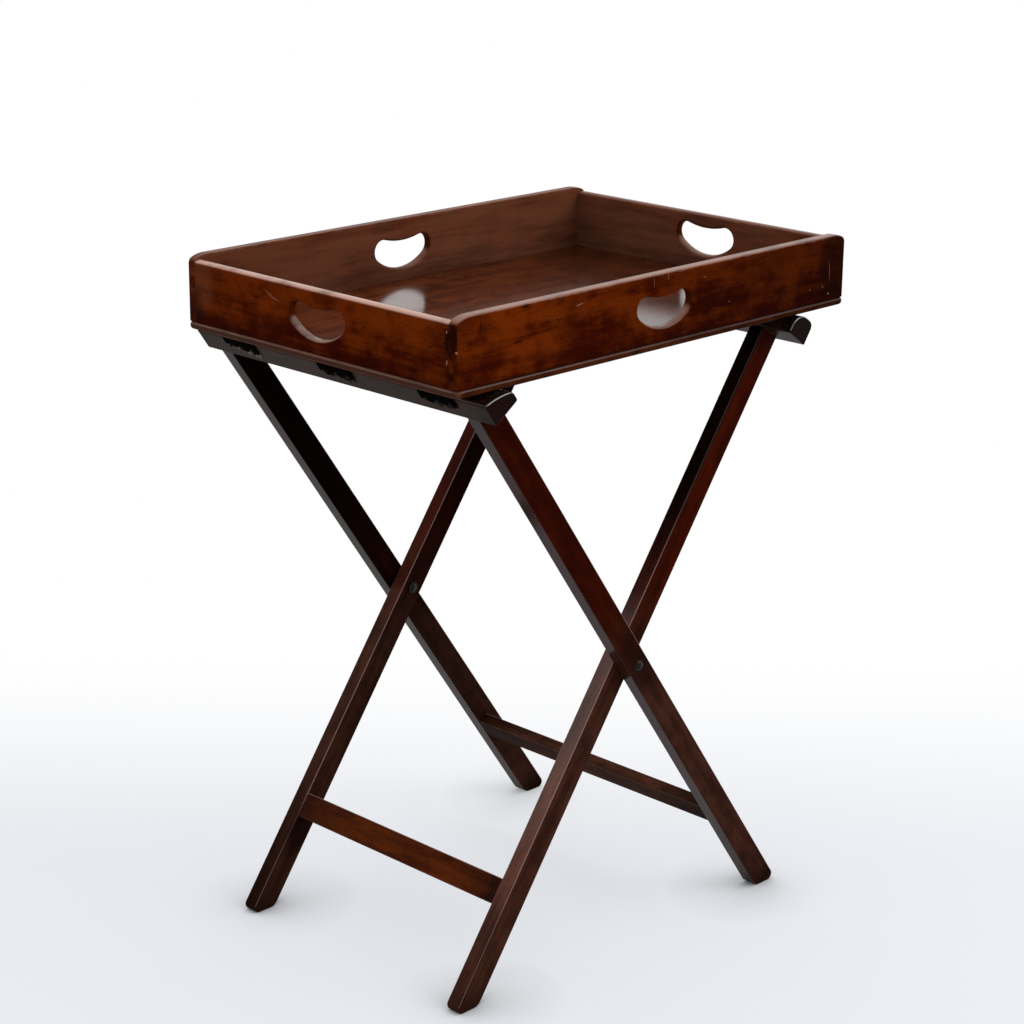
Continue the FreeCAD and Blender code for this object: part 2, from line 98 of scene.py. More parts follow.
class Tree:
    """A node tree, with short calls for the nodes that the finishes use."""

    def __init__(self, tree: bpy.types.NodeTree) -> None:
        """Take a material's, world's or group's node tree."""
        self.tree = tree

    def put(self, value: Any, socket: Socket) -> None:
        """Give an input its value.

        Args:
            value: Another node's socket, a colour without its alpha, or a plain value.
            socket: The input.
        """
        if isinstance(value, bpy.types.NodeSocket):
            self.tree.links.new(value, socket)
        else:
            socket.default_value = (*value, 1.0) if socket.type == "RGBA" else value

    def node(self, kind: str, inputs: dict[Any, Any] | None = None, **settings: Any) -> bpy.types.Node:
        """Add a node.

        Args:
            kind: The node's type name.
            inputs: What goes into each input, by name or place.
            settings: The node's own settings.

        Returns:
            The new node.
        """
        made = self.tree.nodes.new(kind)
        for name, value in settings.items():
            setattr(made, name, value)
        for name, value in (inputs or {}).items():
            self.put(value, made.inputs[name])
        return made

    def math(self, operation: str, *values: Any, clamp: bool = False) -> Socket:
        """Work out a number from one, two or three others."""
        made = self.node("ShaderNodeMath", dict(enumerate(values)), operation=operation, use_clamp=clamp)
        return made.outputs[0]

    def times(self, first: Any, last: Any) -> Socket:
        """One number times another."""
        return self.math("MULTIPLY", first, last)

    def less(self, first: Any, last: Any) -> Socket:
        """One number less another."""
        return self.math("SUBTRACT", first, last)

    def most(self, first: Any, last: Any) -> Socket:
        """The greater of two numbers."""
        return self.math("MAXIMUM", first, last)

    def size(self, value: Socket) -> Socket:
        """A number without its sign."""
        return self.math("ABSOLUTE", value)

    def scaled(self, value: Socket, scale: Any, start: Any) -> Socket:
        """A number times a scale, added to a start."""
        return self.math("MULTIPLY_ADD", value, scale, start)

    def vector(self, operation: str, *values: Any) -> Socket:
        """Work out a vector, or a number for a dot product or a length, from one or two vectors."""
        made = self.node("ShaderNodeVectorMath", dict(enumerate(values)), operation=operation)
        return made.outputs["Value" if operation in ("DOT_PRODUCT", "LENGTH") else "Vector"]

    def noise(self, place: Socket, scale: Any, detail: float = 2.0, roughness: float = 0.5) -> Socket:
        """Soft noise between about 0 and 1.

        Args:
            place: Where the noise is looked up.
            scale: Its scale, or one for each axis.
            detail: How many finer layers it has.
            roughness: How strong the finer layers are.

        Returns:
            The noise.
        """
        if isinstance(scale, tuple):
            place, scale = self.vector("MULTIPLY", place, scale), 1.0
        inputs = {"Vector": place, "Scale": scale, "Detail": detail, "Roughness": roughness}
        return self.node("ShaderNodeTexNoise", inputs).outputs[0]

    def step(self, value: Socket, low: Any, high: Any, first: Any = 0.0, last: Any = 1.0) -> Socket:
        """A smooth step from one number to another as a value passes between two bounds."""
        inputs = {"Value": value, "From Min": low, "From Max": high, "To Min": first, "To Max": last}
        return self.node("ShaderNodeMapRange", inputs, interpolation_type="SMOOTHSTEP").outputs[0]

    def mix(self, share: Any, first: Any, last: Any) -> Socket:
        """A colour between two others."""
        made = self.node("ShaderNodeMix", {0: share, 6: first, 7: last}, data_type="RGBA", clamp_factor=True)
        return made.outputs[2]

    def split(self, vector: Socket) -> tuple[Socket, Socket, Socket]:
        """The three parts of a vector."""
        made = self.node("ShaderNodeSeparateXYZ", {0: vector})
        return made.outputs[0], made.outputs[1], made.outputs[2]

    def joined(self, x: Any, y: Any, z: Any) -> Socket:
        """A vector from its three parts."""
        return self.node("ShaderNodeCombineXYZ", {0: x, 1: y, 2: z}).outputs[0]

    def bump(self, height: Socket, strength: float, distance: float) -> Socket:
        """The surface's direction, bent by a height."""
        inputs = {"Strength": strength, "Distance": distance, "Height": height}
        return self.node("ShaderNodeBump", inputs).outputs[0]

    def end_in(self, kind: str, inputs: dict[Any, Any], output: str = "ShaderNodeOutputMaterial") -> None:
        """Add the shader that the tree ends in, and join it to the output."""
        self.put(self.node(kind, inputs).outputs[0], self.node(output).inputs[0])


class Finish(Tree):
    """The emptied tree of a new material or world."""

    def __init__(self, owner: Any) -> None:
        """Empty the tree.

        Args:
            owner: The material or world.
        """
        owner.use_nodes = True
        owner.node_tree.nodes.clear()
        super().__init__(owner.node_tree)
        self.owner = owner


class SocketKind(Enum):
    """The kinds of socket that the shared groups have."""

    NUMBER = "NodeSocketFloat"
    VECTOR = "NodeSocketVector"
    COLOUR = "NodeSocketColor"


NUMBER, VECTOR, COLOUR = SocketKind


class SharedEffect:
    """A shader node group that several finishes place with their own values."""

    name = ""
    inputs: dict[str, SocketKind] = {}
    outputs: dict[str, SocketKind] = {}

    def __init__(self) -> None:
        """Make the group with its sockets and fill it."""
        self.group = bpy.data.node_groups.new(self.name, "ShaderNodeTree")
        for way, sockets in (("INPUT", self.inputs), ("OUTPUT", self.outputs)):
            for label, kind in sockets.items():
                self.group.interface.new_socket(label, in_out=way, socket_type=kind.value)
        tree = Tree(self.group)
        given = tree.node("NodeGroupInput").outputs
        result = tree.node("NodeGroupOutput").inputs
        for label, socket in self.fill(tree, given).items():
            tree.put(socket, result[label])

    def fill(self, tree: Tree, given: Any) -> dict[str, Socket]:
        """Build what the group does.

        Args:
            tree: The group's tree.
            given: The group's input sockets, by name.

        Returns:
            The sockets that the group puts out, by name.
        """
        raise NotImplementedError

    def place(self, tree: Tree, **values: Any) -> Any:
        """Put the group in a material with what goes into each input, and give its outputs."""
        return tree.node("ShaderNodeGroup", values, node_tree=self.group).outputs


class MahoganyFigure(SharedEffect):
    """Streaks, ribbons, flecks and pores of mahogany, along the board's own X."""

    name = "mahogany figure"
    inputs = {
        "Place": VECTOR, "Seed": NUMBER, "Pale": COLOUR, "Deep": COLOUR, "Dark": COLOUR,
        "Fleck": NUMBER, "Mottle": NUMBER, "Lift": NUMBER,
    }
    outputs = {"Colour": COLOUR, "Streak": NUMBER, "Height": NUMBER}
    sway_scale = (3.0, 10.0, 10.0)
    sway_reach = 0.02
    broad_scale = (7.0, 60.0, 60.0)
    broad_share = 0.72
    fine_scale = (16.0, 330.0, 330.0)
    pore_scale = (120.0, 2100.0, 2100.0)
    pore_from = (0.56, 0.7)
    pore_dark = 0.35
    fleck_scale = (60.0, 260.0, 260.0)
    fleck_from = (0.63, 0.76)
    mottle_scale = (30.0, 36.0, 36.0)
    tone_from = (0.30, 0.70)
    seed_step = (0.71, 1.93, 3.17)

    def fill(self, tree: Tree, given: Any) -> dict[str, Socket]:
        """Build the figure from stretched noises."""
        shift = tree.vector("SCALE", self.seed_step)
        tree.put(given["Seed"], shift.node.inputs["Scale"])
        place = tree.vector("ADD", given["Place"], shift)
        sway = tree.noise(place, self.sway_scale, 1.0)
        swayed = tree.vector("ADD", place, tree.joined(0.0, 0.0, tree.times(sway, self.sway_reach)))
        broad = tree.noise(swayed, self.broad_scale, 3.0, 0.55)
        fine = tree.noise(swayed, self.fine_scale, 3.0, 0.6)
        pores = tree.noise(place, self.pore_scale, 1.0)
        flecks = tree.noise(swayed, self.fleck_scale, 1.0)
        mottle = tree.noise(place, self.mottle_scale, 3.0, 0.6)
        mottled = tree.times(tree.less(mottle, 0.5), given["Mottle"])
        streak = tree.scaled(broad, self.broad_share, tree.times(fine, 1.0 - self.broad_share))
        tone = tree.math("ADD", tree.math("ADD", streak, mottled), given["Lift"])
        colour = tree.mix(tree.step(tone, *self.tone_from), given["Deep"], given["Pale"])
        pore = tree.step(pores, *self.pore_from)
        fleck = tree.times(tree.step(flecks, *self.fleck_from), given["Fleck"])
        colour = tree.mix(tree.times(pore, self.pore_dark), colour, given["Dark"])
        colour = tree.mix(fleck, colour, given["Dark"])
        return {"Colour": colour, "Streak": streak, "Height": tree.less(tree.times(fine, 0.35), pore)}


class EdgeRubAndHighlight(SharedEffect):
    """Where a board's long edges are paled, by wear and by a painted highlight, broken up by noise."""

    name = "edge rub"
    inputs = {"Place": VECTOR, "Half": VECTOR, "Reach": NUMBER, "Seed": NUMBER}
    outputs = {"Mask": NUMBER}

    def fill(self, tree: Tree, given: Any) -> dict[str, Socket]:
        """Find how near a long edge is: the greater of a point's depths below the two pairs of sides."""
        depth = tree.vector("SUBTRACT", given["Half"], tree.vector("ABSOLUTE", given["Place"]))
        _, y, z = tree.split(depth)
        shift = tree.joined(given["Seed"], given["Seed"], 0.0)
        broken = tree.noise(tree.vector("ADD", given["Place"], shift), 55.0, 4.0, 0.65)
        reach = tree.times(given["Reach"], tree.step(broken, 0.25, 0.8, 0.35, 1.5))
        return {"Mask": tree.step(tree.most(y, z), reach, 0.0)}


class SurfaceMark(SharedEffect):
    """One long soft spot on a board, such as a scratch, a nick, a stain or a painted shadow, with a ragged
    edge.
    """

    name = "surface mark"
    inputs = {"Place": VECTOR, "Centre": VECTOR, "Size": VECTOR, "Turn": NUMBER, "Ragged": NUMBER}
    outputs = {"Mask": NUMBER}

    def fill(self, tree: Tree, given: Any) -> dict[str, Socket]:
        """Measure how far a point is from the mark's middle, in shares of the mark's size."""
        away = tree.vector("SUBTRACT", given["Place"], given["Centre"])
        turn = {"Vector": away, "Angle": given["Turn"]}
        turned = tree.node("ShaderNodeVectorRotate", turn, rotation_type="Y_AXIS").outputs[0]
        rough = tree.less(tree.noise(given["Place"], 420.0, 3.0, 0.6), 0.5)
        shares = tree.vector("LENGTH", tree.vector("DIVIDE", turned, given["Size"]))
        return {"Mask": tree.step(tree.scaled(rough, given["Ragged"], shares), 1.0, 0.45)}


class Handling(SharedEffect):
    """Dirt that gathers in soft patches, and small pale nicks from use."""

    name = "handling"
    inputs = {"Place": VECTOR, "Seed": NUMBER, "Nicks": NUMBER}
    outputs = {"Grime": NUMBER, "Nick": NUMBER}
    cell_scale = (26.0, 48.0, 48.0)

    def fill(self, tree: Tree, given: Any) -> dict[str, Socket]:
        """Build soft dirt from noise, and nicks from sparse cells."""
        place = tree.vector("ADD", given["Place"], tree.joined(given["Seed"], 0.0, given["Seed"]))
        grime = tree.step(tree.noise(place, 14.0, 5.0, 0.6), 0.45, 0.75)
        stretched = tree.vector("MULTIPLY", place, self.cell_scale)
        cells = tree.node("ShaderNodeTexVoronoi", {"Vector": stretched, "Scale": 1.0, "Randomness": 1.0})
        chance = tree.split(cells.outputs["Color"])[0]
        spot = tree.step(cells.outputs["Distance"], 0.10, 0.03)
        return {"Grime": grime, "Nick": tree.times(spot, tree.math("LESS_THAN", chance, given["Nicks"]))}


class WebbingWeave(SharedEffect):
    """The plain weave of cotton webbing, across the strap's own X and Y."""

    name = "webbing weave"
    inputs = {"Place": VECTOR, "Thread": NUMBER}
    outputs = {"Shade": NUMBER, "Height": NUMBER}

    def fill(self, tree: Tree, given: Any) -> dict[str, Socket]:
        """Build over-and-under threads from two crossing waves."""
        rate = tree.math("DIVIDE", math.pi, given["Thread"])
        x, y, _ = tree.split(given["Place"])
        along = tree.math("SINE", tree.times(x, rate))
        over = tree.times(along, tree.math("SINE", tree.times(y, rate)))
        worn = tree.noise(given["Place"], 70.0, 3.0, 0.6)
        height = tree.scaled(tree.size(over), 0.6, tree.times(along, 0.25))
        return {"Shade": tree.scaled(over, 0.25, worn), "Height": height}


class Effects:
    """The shared effects, made once."""

    def __init__(self) -> None:
        """Make each group."""
        self.figure = MahoganyFigure()
        self.rub_and_highlight = EdgeRubAndHighlight()
        self.handling = Handling()
        self.mark = SurfaceMark()
        self.weave = WebbingWeave()


@dataclass(frozen=True)
class Timber:
    """One lot of mahogany: its colours, what pale and deep turn to at a board's low end, and its polish."""

    pale: Triple
    deep: Triple
    dark: Triple
    # The colour of bare worn wood, also painted as highlights.
    worn: Triple
    end: Triple
    dull: tuple[Triple, Triple] | None = None
    # The colour of faded polish, also painted as sheen on the walls' inner faces.
    haze: Triple = (0.155, 0.062, 0.035)
    fleck: float = 0.45
    mottle: float = 0.55
    roughness: float = 0.34
    relief: float = 0.16
    # How strongly the long edges are paled, by wear and by a painted highlight.
    wear_and_highlight: float = 0.5
    wear_reach: float = 0.003
    grime: float = 0.35
    nicks: float = 0.03
    arris_highlight: float = 0.0
    index: float = 1.06
    coat: float = 0.5
    coat_from: float = 0.3
    coat_full: float = 0.8
    coat_below: float = 0.0
    coat_index: float = 1.5
    coat_roughness: float = 0.2


class MarkKind(Enum):
    """What a mark shows, by the timber's colour: bare worn wood or painted light, faded polish, or a dark
    stain or painted shade.
    """

    PALE = "worn"
    FADED = "haze"
    DARK = "dark"


PALE, FADED, DARK = MarkKind


@dataclass(frozen=True)
class Mark:
    """A scratch, nick or stain on a board, or painted light or shade, in the board's own axes."""

    kind: MarkKind
    centre: Triple
    size: Triple
    turn: float = 0.0
    strength: float = 0.8
    ragged: float = 0.5


@dataclass(frozen=True)
class Board:
    """One wooden piece: its node, its grain, its middle, its half size in its own axes, how it aged and the
    light and shade painted on it.
    """

    node: str
    grain: Grain
    centre: Triple
    half: Triple
    seed: float
    timber: Timber
    top_rub: float = 0.0
    low_darkening: float = 0.0
    end_dirt: float = 0.0
    end_reach: float = 0.06
    end_tone: float = 1.0
    marks: tuple[Mark, ...] = ()
    tones: Pair = EVEN
    side_tones: Pair | None = None
    tone_share: float = 1.0
    sheen: Pair = EVEN
    inner_side: int = 0
    inner_haze: float = 0.0
    top_lift: float = 0.0
    rim: float = 0.0
    rim_gloss: float = 0.22
    rim_rub_and_highlight: float = 0.75

    def build(self, effects: Effects) -> None:
        """Dress the solid in its finish."""
        dress(self.node, BoardFinish(self, effects).owner)


class BoardFinish(Finish):
    """A board's polish, worked out from the place on the board and the surface's direction.

    The pairs are the bounds of smooth steps: shares of the half length for reaches, heights for bands and
    seams, and how squarely a surface looks along an axis for the rest.
    """

    sheen_reach = (-0.85, -0.2)
    dull_reach = (0.3, -0.2)
    foot_band = (0.004, 0.012)
    foot_seam = (0.0024, 0.0008)
    top_band = (-0.014, -0.007)
    groove_band = (-0.0032, -0.0024)
    rim_blur = 0.001
    upward = (0.25, 0.8)
    nose_upward = (0.15, 0.75)
    edge_upward = (0.05, 0.3)
    downward = (-0.25, -0.5)
    inward = (0.6, 0.95)
    endward = (0.72, 0.9)
    off_end = (0.35, 0.15)
    off_side = (0.8, 0.5)
    off_faces = (0.985, 0.87)
    # Strengths of the painted shade in the seam along the foot and in the groove.
    seam_shade = 0.45
    groove_shade = 0.6
    least_top_rub = 0.45
    nick_wear = 0.8

    def __init__(self, board: Board, effects: Effects) -> None:
        """Make the board's material and fill it.

        Args:
            board: The board.
            effects: The shared node groups.
        """
        super().__init__(bpy.data.materials.new(f"{board.node}_finish"))
        self.board, self.wood, self.effects = board, board.timber, effects
        self.long, self.wide, self.high = board.half
        coordinates = self.node("ShaderNodeTexCoord").outputs
        placed = {"Vector": coordinates["Object"], "Location": board.centre, "Rotation": board.grain.value}
        self.place = self.node("ShaderNodeMapping", placed, vector_type="TEXTURE").outputs[0]
        self.x, self.y, self.z = self.split(self.place)
        self.normal = coordinates["Normal"]
        self.rise = self.split(self.normal)[2]
        handling = effects.handling.place(self, Place=self.place, Seed=board.seed, Nicks=self.wood.nicks)
        self.grime, self.nick = handling["Grime"], handling["Nick"]
        self.fill()

    def facing(self, axis: Triple) -> Socket:
        """How squarely the surface looks along one of the board's own axes, negative if it looks back."""
        return self.vector("DOT_PRODUCT", self.normal, tuple(self.board.grain.matrix() @ Vector(axis)))

    def either_way(self, axis: Triple) -> Socket:
        """How squarely the surface looks along one of the board's own axes or back."""
        return self.size(self.facing(axis))

    def along(self, reach: Pair, *ends: float) -> Socket:
        """A step along the board between two shares of its half length."""
        return self.step(self.x, self.long * reach[0], self.long * reach[1], *ends)

    def up_from(self, start: float, band: Pair, *ends: float) -> Socket:
        """A step up the board across a band of heights over a starting height."""
        return self.step(self.z, start + band[0], start + band[1], *ends)

    def floor_mask(self) -> Socket:
        """One on the floor between the walls, and nought on the rim outside them.

        Returns:
            The floor's mask.
        """
        from_end = self.less(self.long, self.size(self.x))
        from_side = self.less(self.wide, self.size(self.y))
        rim = self.board.rim
        return self.step(self.math("MINIMUM", from_end, from_side), rim - self.rim_blur, rim)

    def groove(self) -> Socket:
        """One in the groove between the rim and the walls."""
        return self.times(self.up_from(self.high, self.groove_band), self.less(1.0, self.floor_mask()))

    def gloss(self) -> Socket:
        """Where the polish shines: on faces that look up or, on some timbers, down, and less on the rim.

        Returns:
            The coat's weight.
        """
        board, wood = self.board, self.wood
        shine = self.step(self.rise, wood.coat_from, wood.coat_full, 0.0, wood.coat)
        if board.sheen != EVEN:
            shine = self.times(shine, self.along(self.sheen_reach, *board.sheen))
        if wood.coat_below:
            shine = self.most(shine, self.step(self.rise, *self.downward, 0.0, wood.coat_below))
        if board.rim:
            shine = self.times(shine, self.step(self.floor_mask(), 0.0, 1.0, board.rim_gloss, 1.0))
        return shine

    def tints(self) -> tuple[Any, Any]:
        """The figure's pale and deep colours, which turn dull towards the low end of some timbers.

        Returns:
            The pale and the deep colour.
        """
        wood = self.wood
        if wood.dull is None:
            return wood.pale, wood.deep
        share = self.along(self.dull_reach)
        return self.mix(share, wood.pale, wood.dull[0]), self.mix(share, wood.deep, wood.dull[1])

    def toned(self, colour: Socket) -> Socket:
        """Let the tone drift from one end to the other, on some boards' sides apart from front and back; on
        the legs and the floor this drift paints light and shade.

        Args:
            colour: The wood's colour.

        Returns:
            The toned colour.
        """
        board = self.board
        reach = (-board.tone_share, board.tone_share)
        tone = self.along(reach, *board.tones)
        if board.side_tones:
            side = self.step(self.either_way((0, 1, 0)), *self.off_side)
            tone = self.scaled(side, self.less(self.along(reach, *board.side_tones), tone), tone)
        return self.vector("MULTIPLY", colour, self.joined(tone, tone, tone))

    def arris_highlight(self) -> Socket:
        """One on the rounded long edges that look up, where a highlight is painted as if the light caught
        them.

        Returns:
            The edges' mask.
        """
        flat = self.most(self.either_way((0, 1, 0)), self.either_way((0, 0, 1)))
        sharp = self.times(self.step(flat, *self.off_faces), self.step(self.rise, *self.edge_upward))
        return self.times(sharp, self.step(self.either_way((1, 0, 0)), *self.off_end))

    def dirt_and_shade(self) -> Socket:
        """Where the wood is darkened: by dirt in patches and at the ends, by painted shade in the seam along
        the foot and in the groove, and towards the bottom in patches.

        Returns:
            The dirt's mask.
        """
        board = self.board
        dirt_and_shade = self.times(self.grime, self.wood.grime)
        # Darker towards the bottom, in patches, with a painted shade line along the foot; on the nose this
        # paints shade on its lower half.
        if board.low_darkening:
            low = self.step(self.z, self.high * 0.1, -self.high, 0.0, board.low_darkening)
            dirt_and_shade = self.most(dirt_and_shade, self.times(low, self.step(self.grime, -0.6, 0.6)))
            dirt_and_shade = self.most(dirt_and_shade, self.up_from(-self.high, self.foot_seam, 0.0, self.seam_shade))
        # Painted shade in the groove between the rim and the walls.
        if board.rim:
            dirt_and_shade = self.most(dirt_and_shade, self.times(self.groove(), self.groove_shade))
        if board.end_dirt:
            from_end = self.less(self.long, self.size(self.x))
            ends = self.step(from_end, board.end_reach, 0.0, 0.0, board.end_dirt)
            dirt_and_shade = self.most(dirt_and_shade, self.times(ends, self.step(self.grime, -0.8, 0.7)))
        return dirt_and_shade

    def wear_and_highlight(self) -> Socket:
        """Where the wood is paled, by wear and by painted highlights: on the long edges, on the top, on the
        nose, on edges that look up and at small nicks.

        Returns:
            The wear's mask.
        """
        board, wood = self.board, self.wood
        edges = {"Place": self.place, "Half": board.half, "Reach": wood.wear_reach, "Seed": board.seed}
        worn = self.times(self.effects.rub_and_highlight.place(self, **edges)["Mask"], wood.wear_and_highlight)
        patch = self.step(self.grime, 1.1, -0.2)
        # The top band is paled where it looks up: wear with a painted highlight.
        if board.top_rub:
            above = self.up_from(-self.high, self.foot_band)
            rub_and_highlight = self.up_from(self.high, self.top_band, self.least_top_rub, board.top_rub)
            top = self.times(self.step(self.rise, *self.upward), self.times(rub_and_highlight, patch))
            worn = self.most(self.times(worn, above), top)
        # The nose's upward rounding is paled: wear with a painted highlight.
        if board.rim:
            outside = self.step(self.floor_mask(), 1.0, 0.0, 0.0, board.rim_rub_and_highlight)
            nose = self.times(self.step(self.rise, *self.nose_upward), outside)
            free = self.math("SUBTRACT", patch, self.groove(), clamp=True)
            worn = self.most(worn, self.times(nose, free))
        # Painted highlight along the edges that look up.
        if wood.arris_highlight:
            worn = self.most(worn, self.times(self.arris_highlight(), wood.arris_highlight))
        return self.most(worn, self.times(self.nick, self.nick_wear))

    def marked(self, colour: Socket) -> Socket:
        """Lay the board's own marks over a colour.

        Args:
            colour: The wood's colour.

        Returns:
            The marked colour.
        """
        for mark in self.board.marks:
            spot = {"Centre": mark.centre, "Size": mark.size, "Turn": mark.turn, "Ragged": mark.ragged}
            mask = self.effects.mark.place(self, Place=self.place, **spot)["Mask"]
            colour = self.mix(self.times(mask, mark.strength), colour, getattr(self.wood, mark.kind.value))
        return colour

    def fill(self) -> None:
        """Build the polish: the figure, dirt and painted shade, painted sheen on the inner faces, wear and
        painted highlights, and marks, with the coat over them.
        """
        board, wood = self.board, self.wood
        pale, deep = self.tints()
        figure = self.effects.figure.place(
            self, Place=self.place, Seed=board.seed, Pale=pale, Deep=deep, Dark=wood.dark, Fleck=wood.fleck,
            Mottle=wood.mottle, Lift=self.times(self.z, board.top_lift / self.high),
        )
        end_grain = self.step(self.either_way((1, 0, 0)), *self.endward, 0.0, board.end_tone)
        colour = self.mix(end_grain, self.toned(figure["Colour"]), wood.end)
        colour = self.mix(self.dirt_and_shade(), colour, wood.dark)
        # Painted sheen: the walls' inner faces are paled towards the sheen colour, streaked along the grain.
        if board.inner_side:
            inside = self.step(self.facing((0, board.inner_side, 0)), *self.inward)
            streaked = self.step(figure["Streak"], 0.25, 0.65, 0.45, 1.05)
            colour = self.mix(self.times(self.times(inside, board.inner_haze), streaked), colour, wood.haze)
        worn = self.wear_and_highlight()
        roughness = self.scaled(figure["Streak"], 0.12, wood.roughness - 0.06)
        height = self.scaled(self.nick, -2.0, figure["Height"])
        self.end_in(
            "ShaderNodeBsdfPrincipled",
            {
                "Base Color": self.marked(self.mix(worn, colour, wood.worn)),
                "Roughness": self.scaled(worn, 0.12, roughness),
                "Normal": self.bump(height, wood.relief, 0.0003),
                "IOR": wood.index,
                "Coat Weight": self.gloss(),
                "Coat IOR": wood.coat_index,
                "Coat Roughness": wood.coat_roughness,
            },
        )


@dataclass(frozen=True)
class Steel:
    """Old dark steel with dull patches."""

    name: str
    bright: Triple
    dull: Triple
    roughness: float
    patch_scale: Triple = (12.0, 12.0, 12.0)
    hammer_scale: float = 420.0

    def material(self, effects: Effects) -> bpy.types.Material:
        """Make the steel's finish.

        Args:
            effects: The shared node groups.

        Returns:
            A new material.
        """
        tree = Finish(bpy.data.materials.new(self.name))
        place = tree.node("ShaderNodeTexCoord").outputs["Object"]
        fine = tree.vector("MULTIPLY", place, self.patch_scale)
        grime = effects.handling.place(tree, Place=fine, Seed=2.3, Nicks=0.0)["Grime"]
        tree.end_in(
            "ShaderNodeBsdfPrincipled",
            {
                "Base Color": tree.mix(grime, self.bright, self.dull),
                "Roughness": tree.scaled(grime, 0.2, self.roughness),
                "Metallic": tree.step(grime, 1.0, 0.2, 0.7, 1.0),
                "Normal": tree.bump(tree.noise(place, self.hammer_scale), 0.25, 0.0004),
            },
        )
        return tree.owner


@dataclass(frozen=True)
class Webbing:
    """Cotton webbing, rubbed paler on its high threads."""

    name: str
    high: Triple
    low: Triple
    thread: float = 0.0011

    def material(self, effects: Effects) -> bpy.types.Material:
        """Make the webbing's finish; the strap's flat places are in its surface coordinates.

        Args:
            effects: The shared node groups.

        Returns:
            A new material.
        """
        tree = Finish(bpy.data.materials.new(self.name))
        place = tree.node("ShaderNodeUVMap", uv_map="cloth").outputs[0]
        weave = effects.weave.place(tree, Place=place, Thread=self.thread)
        tree.end_in(
            "ShaderNodeBsdfPrincipled",
            {
                "Base Color": tree.mix(tree.step(weave["Shade"], 0.25, 0.85), self.low, self.high),
                "Roughness": tree.step(weave["Shade"], 0.0, 1.0, 0.95, 0.75),
                "Normal": tree.bump(weave["Height"], 0.7, 0.0004),
                "IOR": 1.02,
            },
        )
        return tree.owner


TRAY_TIMBER = Timber(
    pale=(0.104, 0.0148, 0.0006),
    deep=(0.031, 0.0024, 0.0002),
    dark=(0.0055, 0.0013, 0.0004),
    worn=(0.30, 0.140, 0.090),
    end=(0.016, 0.005, 0.0015),
    mottle=0.8,
    nicks=0.0,
    index=1.03,
    coat=0.6,
    coat_roughness=0.15,
)
# A paler wear colour for the left wall: for its wear and scratches, and for the brighter painted highlight
# on its top band.
WORN_AND_HIGHLIT_TIMBER = replace(TRAY_TIMBER, worn=(0.55, 0.330, 0.260))
DULL_TIMBER = replace(TRAY_TIMBER, coat=0.3)
FLOOR_TIMBER = replace(
    TRAY_TIMBER,
    pale=(0.100, 0.0230, 0.0060),
    deep=(0.034, 0.0060, 0.0018),
    worn=(0.27, 0.125, 0.090),
    coat=1.0,
    coat_from=0.15,
    coat_full=0.45,
    coat_index=1.75,
    coat_roughness=0.14,
    wear_and_highlight=0.0,
)
LEG_TIMBER = Timber(
    pale=(0.043, 0.0043, 0.0005),
    deep=(0.022, 0.0019, 0.0002),
    dark=(0.0030, 0.0012, 0.0008),
    worn=(0.23, 0.140, 0.125),
    end=(0.006, 0.0028, 0.0022),
    dull=((0.060, 0.0205, 0.0120), (0.028, 0.0090, 0.0053)),
    fleck=0.4,
    wear_and_highlight=0.0,
    grime=0.3,
    nicks=0.01,
    index=1.035,
    coat=0.7,
    coat_from=0.08,
    coat_full=0.45,
    coat_roughness=0.18,
    arris_highlight=0.85,
)
OUTER_TIMBER = replace(LEG_TIMBER, coat_below=0.34)
RAIL_TIMBER = replace(
    LEG_TIMBER,
    pale=(0.034, 0.0165, 0.0090),
    deep=(0.016, 0.0070, 0.0040),
    end=(0.0125, 0.0016, 0.0010),
    dull=None,
    index=1.09,
    coat=1.0,
    coat_index=2.0,
    coat_roughness=0.12,
    arris_highlight=0.0,
    relief=0.02,
)
BAR_TIMBER = replace(
    LEG_TIMBER, pale=(0.138, 0.0245, 0.0015), deep=(0.052, 0.0072, 0.0004), dull=None, coat=0.05,
)
DULL_BAR = replace(BAR_TIMBER, pale=(0.145, 0.0500, 0.0250), deep=(0.055, 0.0155, 0.0085))
PIN_STEEL = Steel("pin_steel_finish", (0.016, 0.0135, 0.011), (0.004, 0.003, 0.0025), 0.27)
TACK_STEEL = Steel("tack_steel_finish", (0.008, 0.007, 0.0065), (0.004, 0.0035, 0.003), 0.6)
SCREW_STEEL = Steel("screw_steel_finish", (0.2, 0.18, 0.15), (0.07, 0.05, 0.035), 0.42)
STRAP_CLOTH = Webbing("strap_cloth_finish", (0.0040, 0.0033, 0.0028), (0.0010, 0.0008, 0.0007))
PALE_FRAY = Webbing("pale_fray_finish", (0.27, 0.245, 0.205), (0.07, 0.062, 0.052))


def wall_marks(face: float, *rows: tuple[Any, ...], depth: float = 0.004) -> tuple[Mark, ...]:
    """Marks on the outer face of a wall.

    Args:
        face: Where the face is, across the wall.
        rows: Each mark's kind, its place along and up the wall, its half width and height, its turn, its
            strength and its raggedness.
        depth: How deep the marks go.

    Returns:
        The marks.
    """
    made = []
    for kind, x, z, wide, high, *rest in rows:
        made.append(Mark(kind, (x, face, z), (wide, depth, high), *rest))
    return tuple(made)
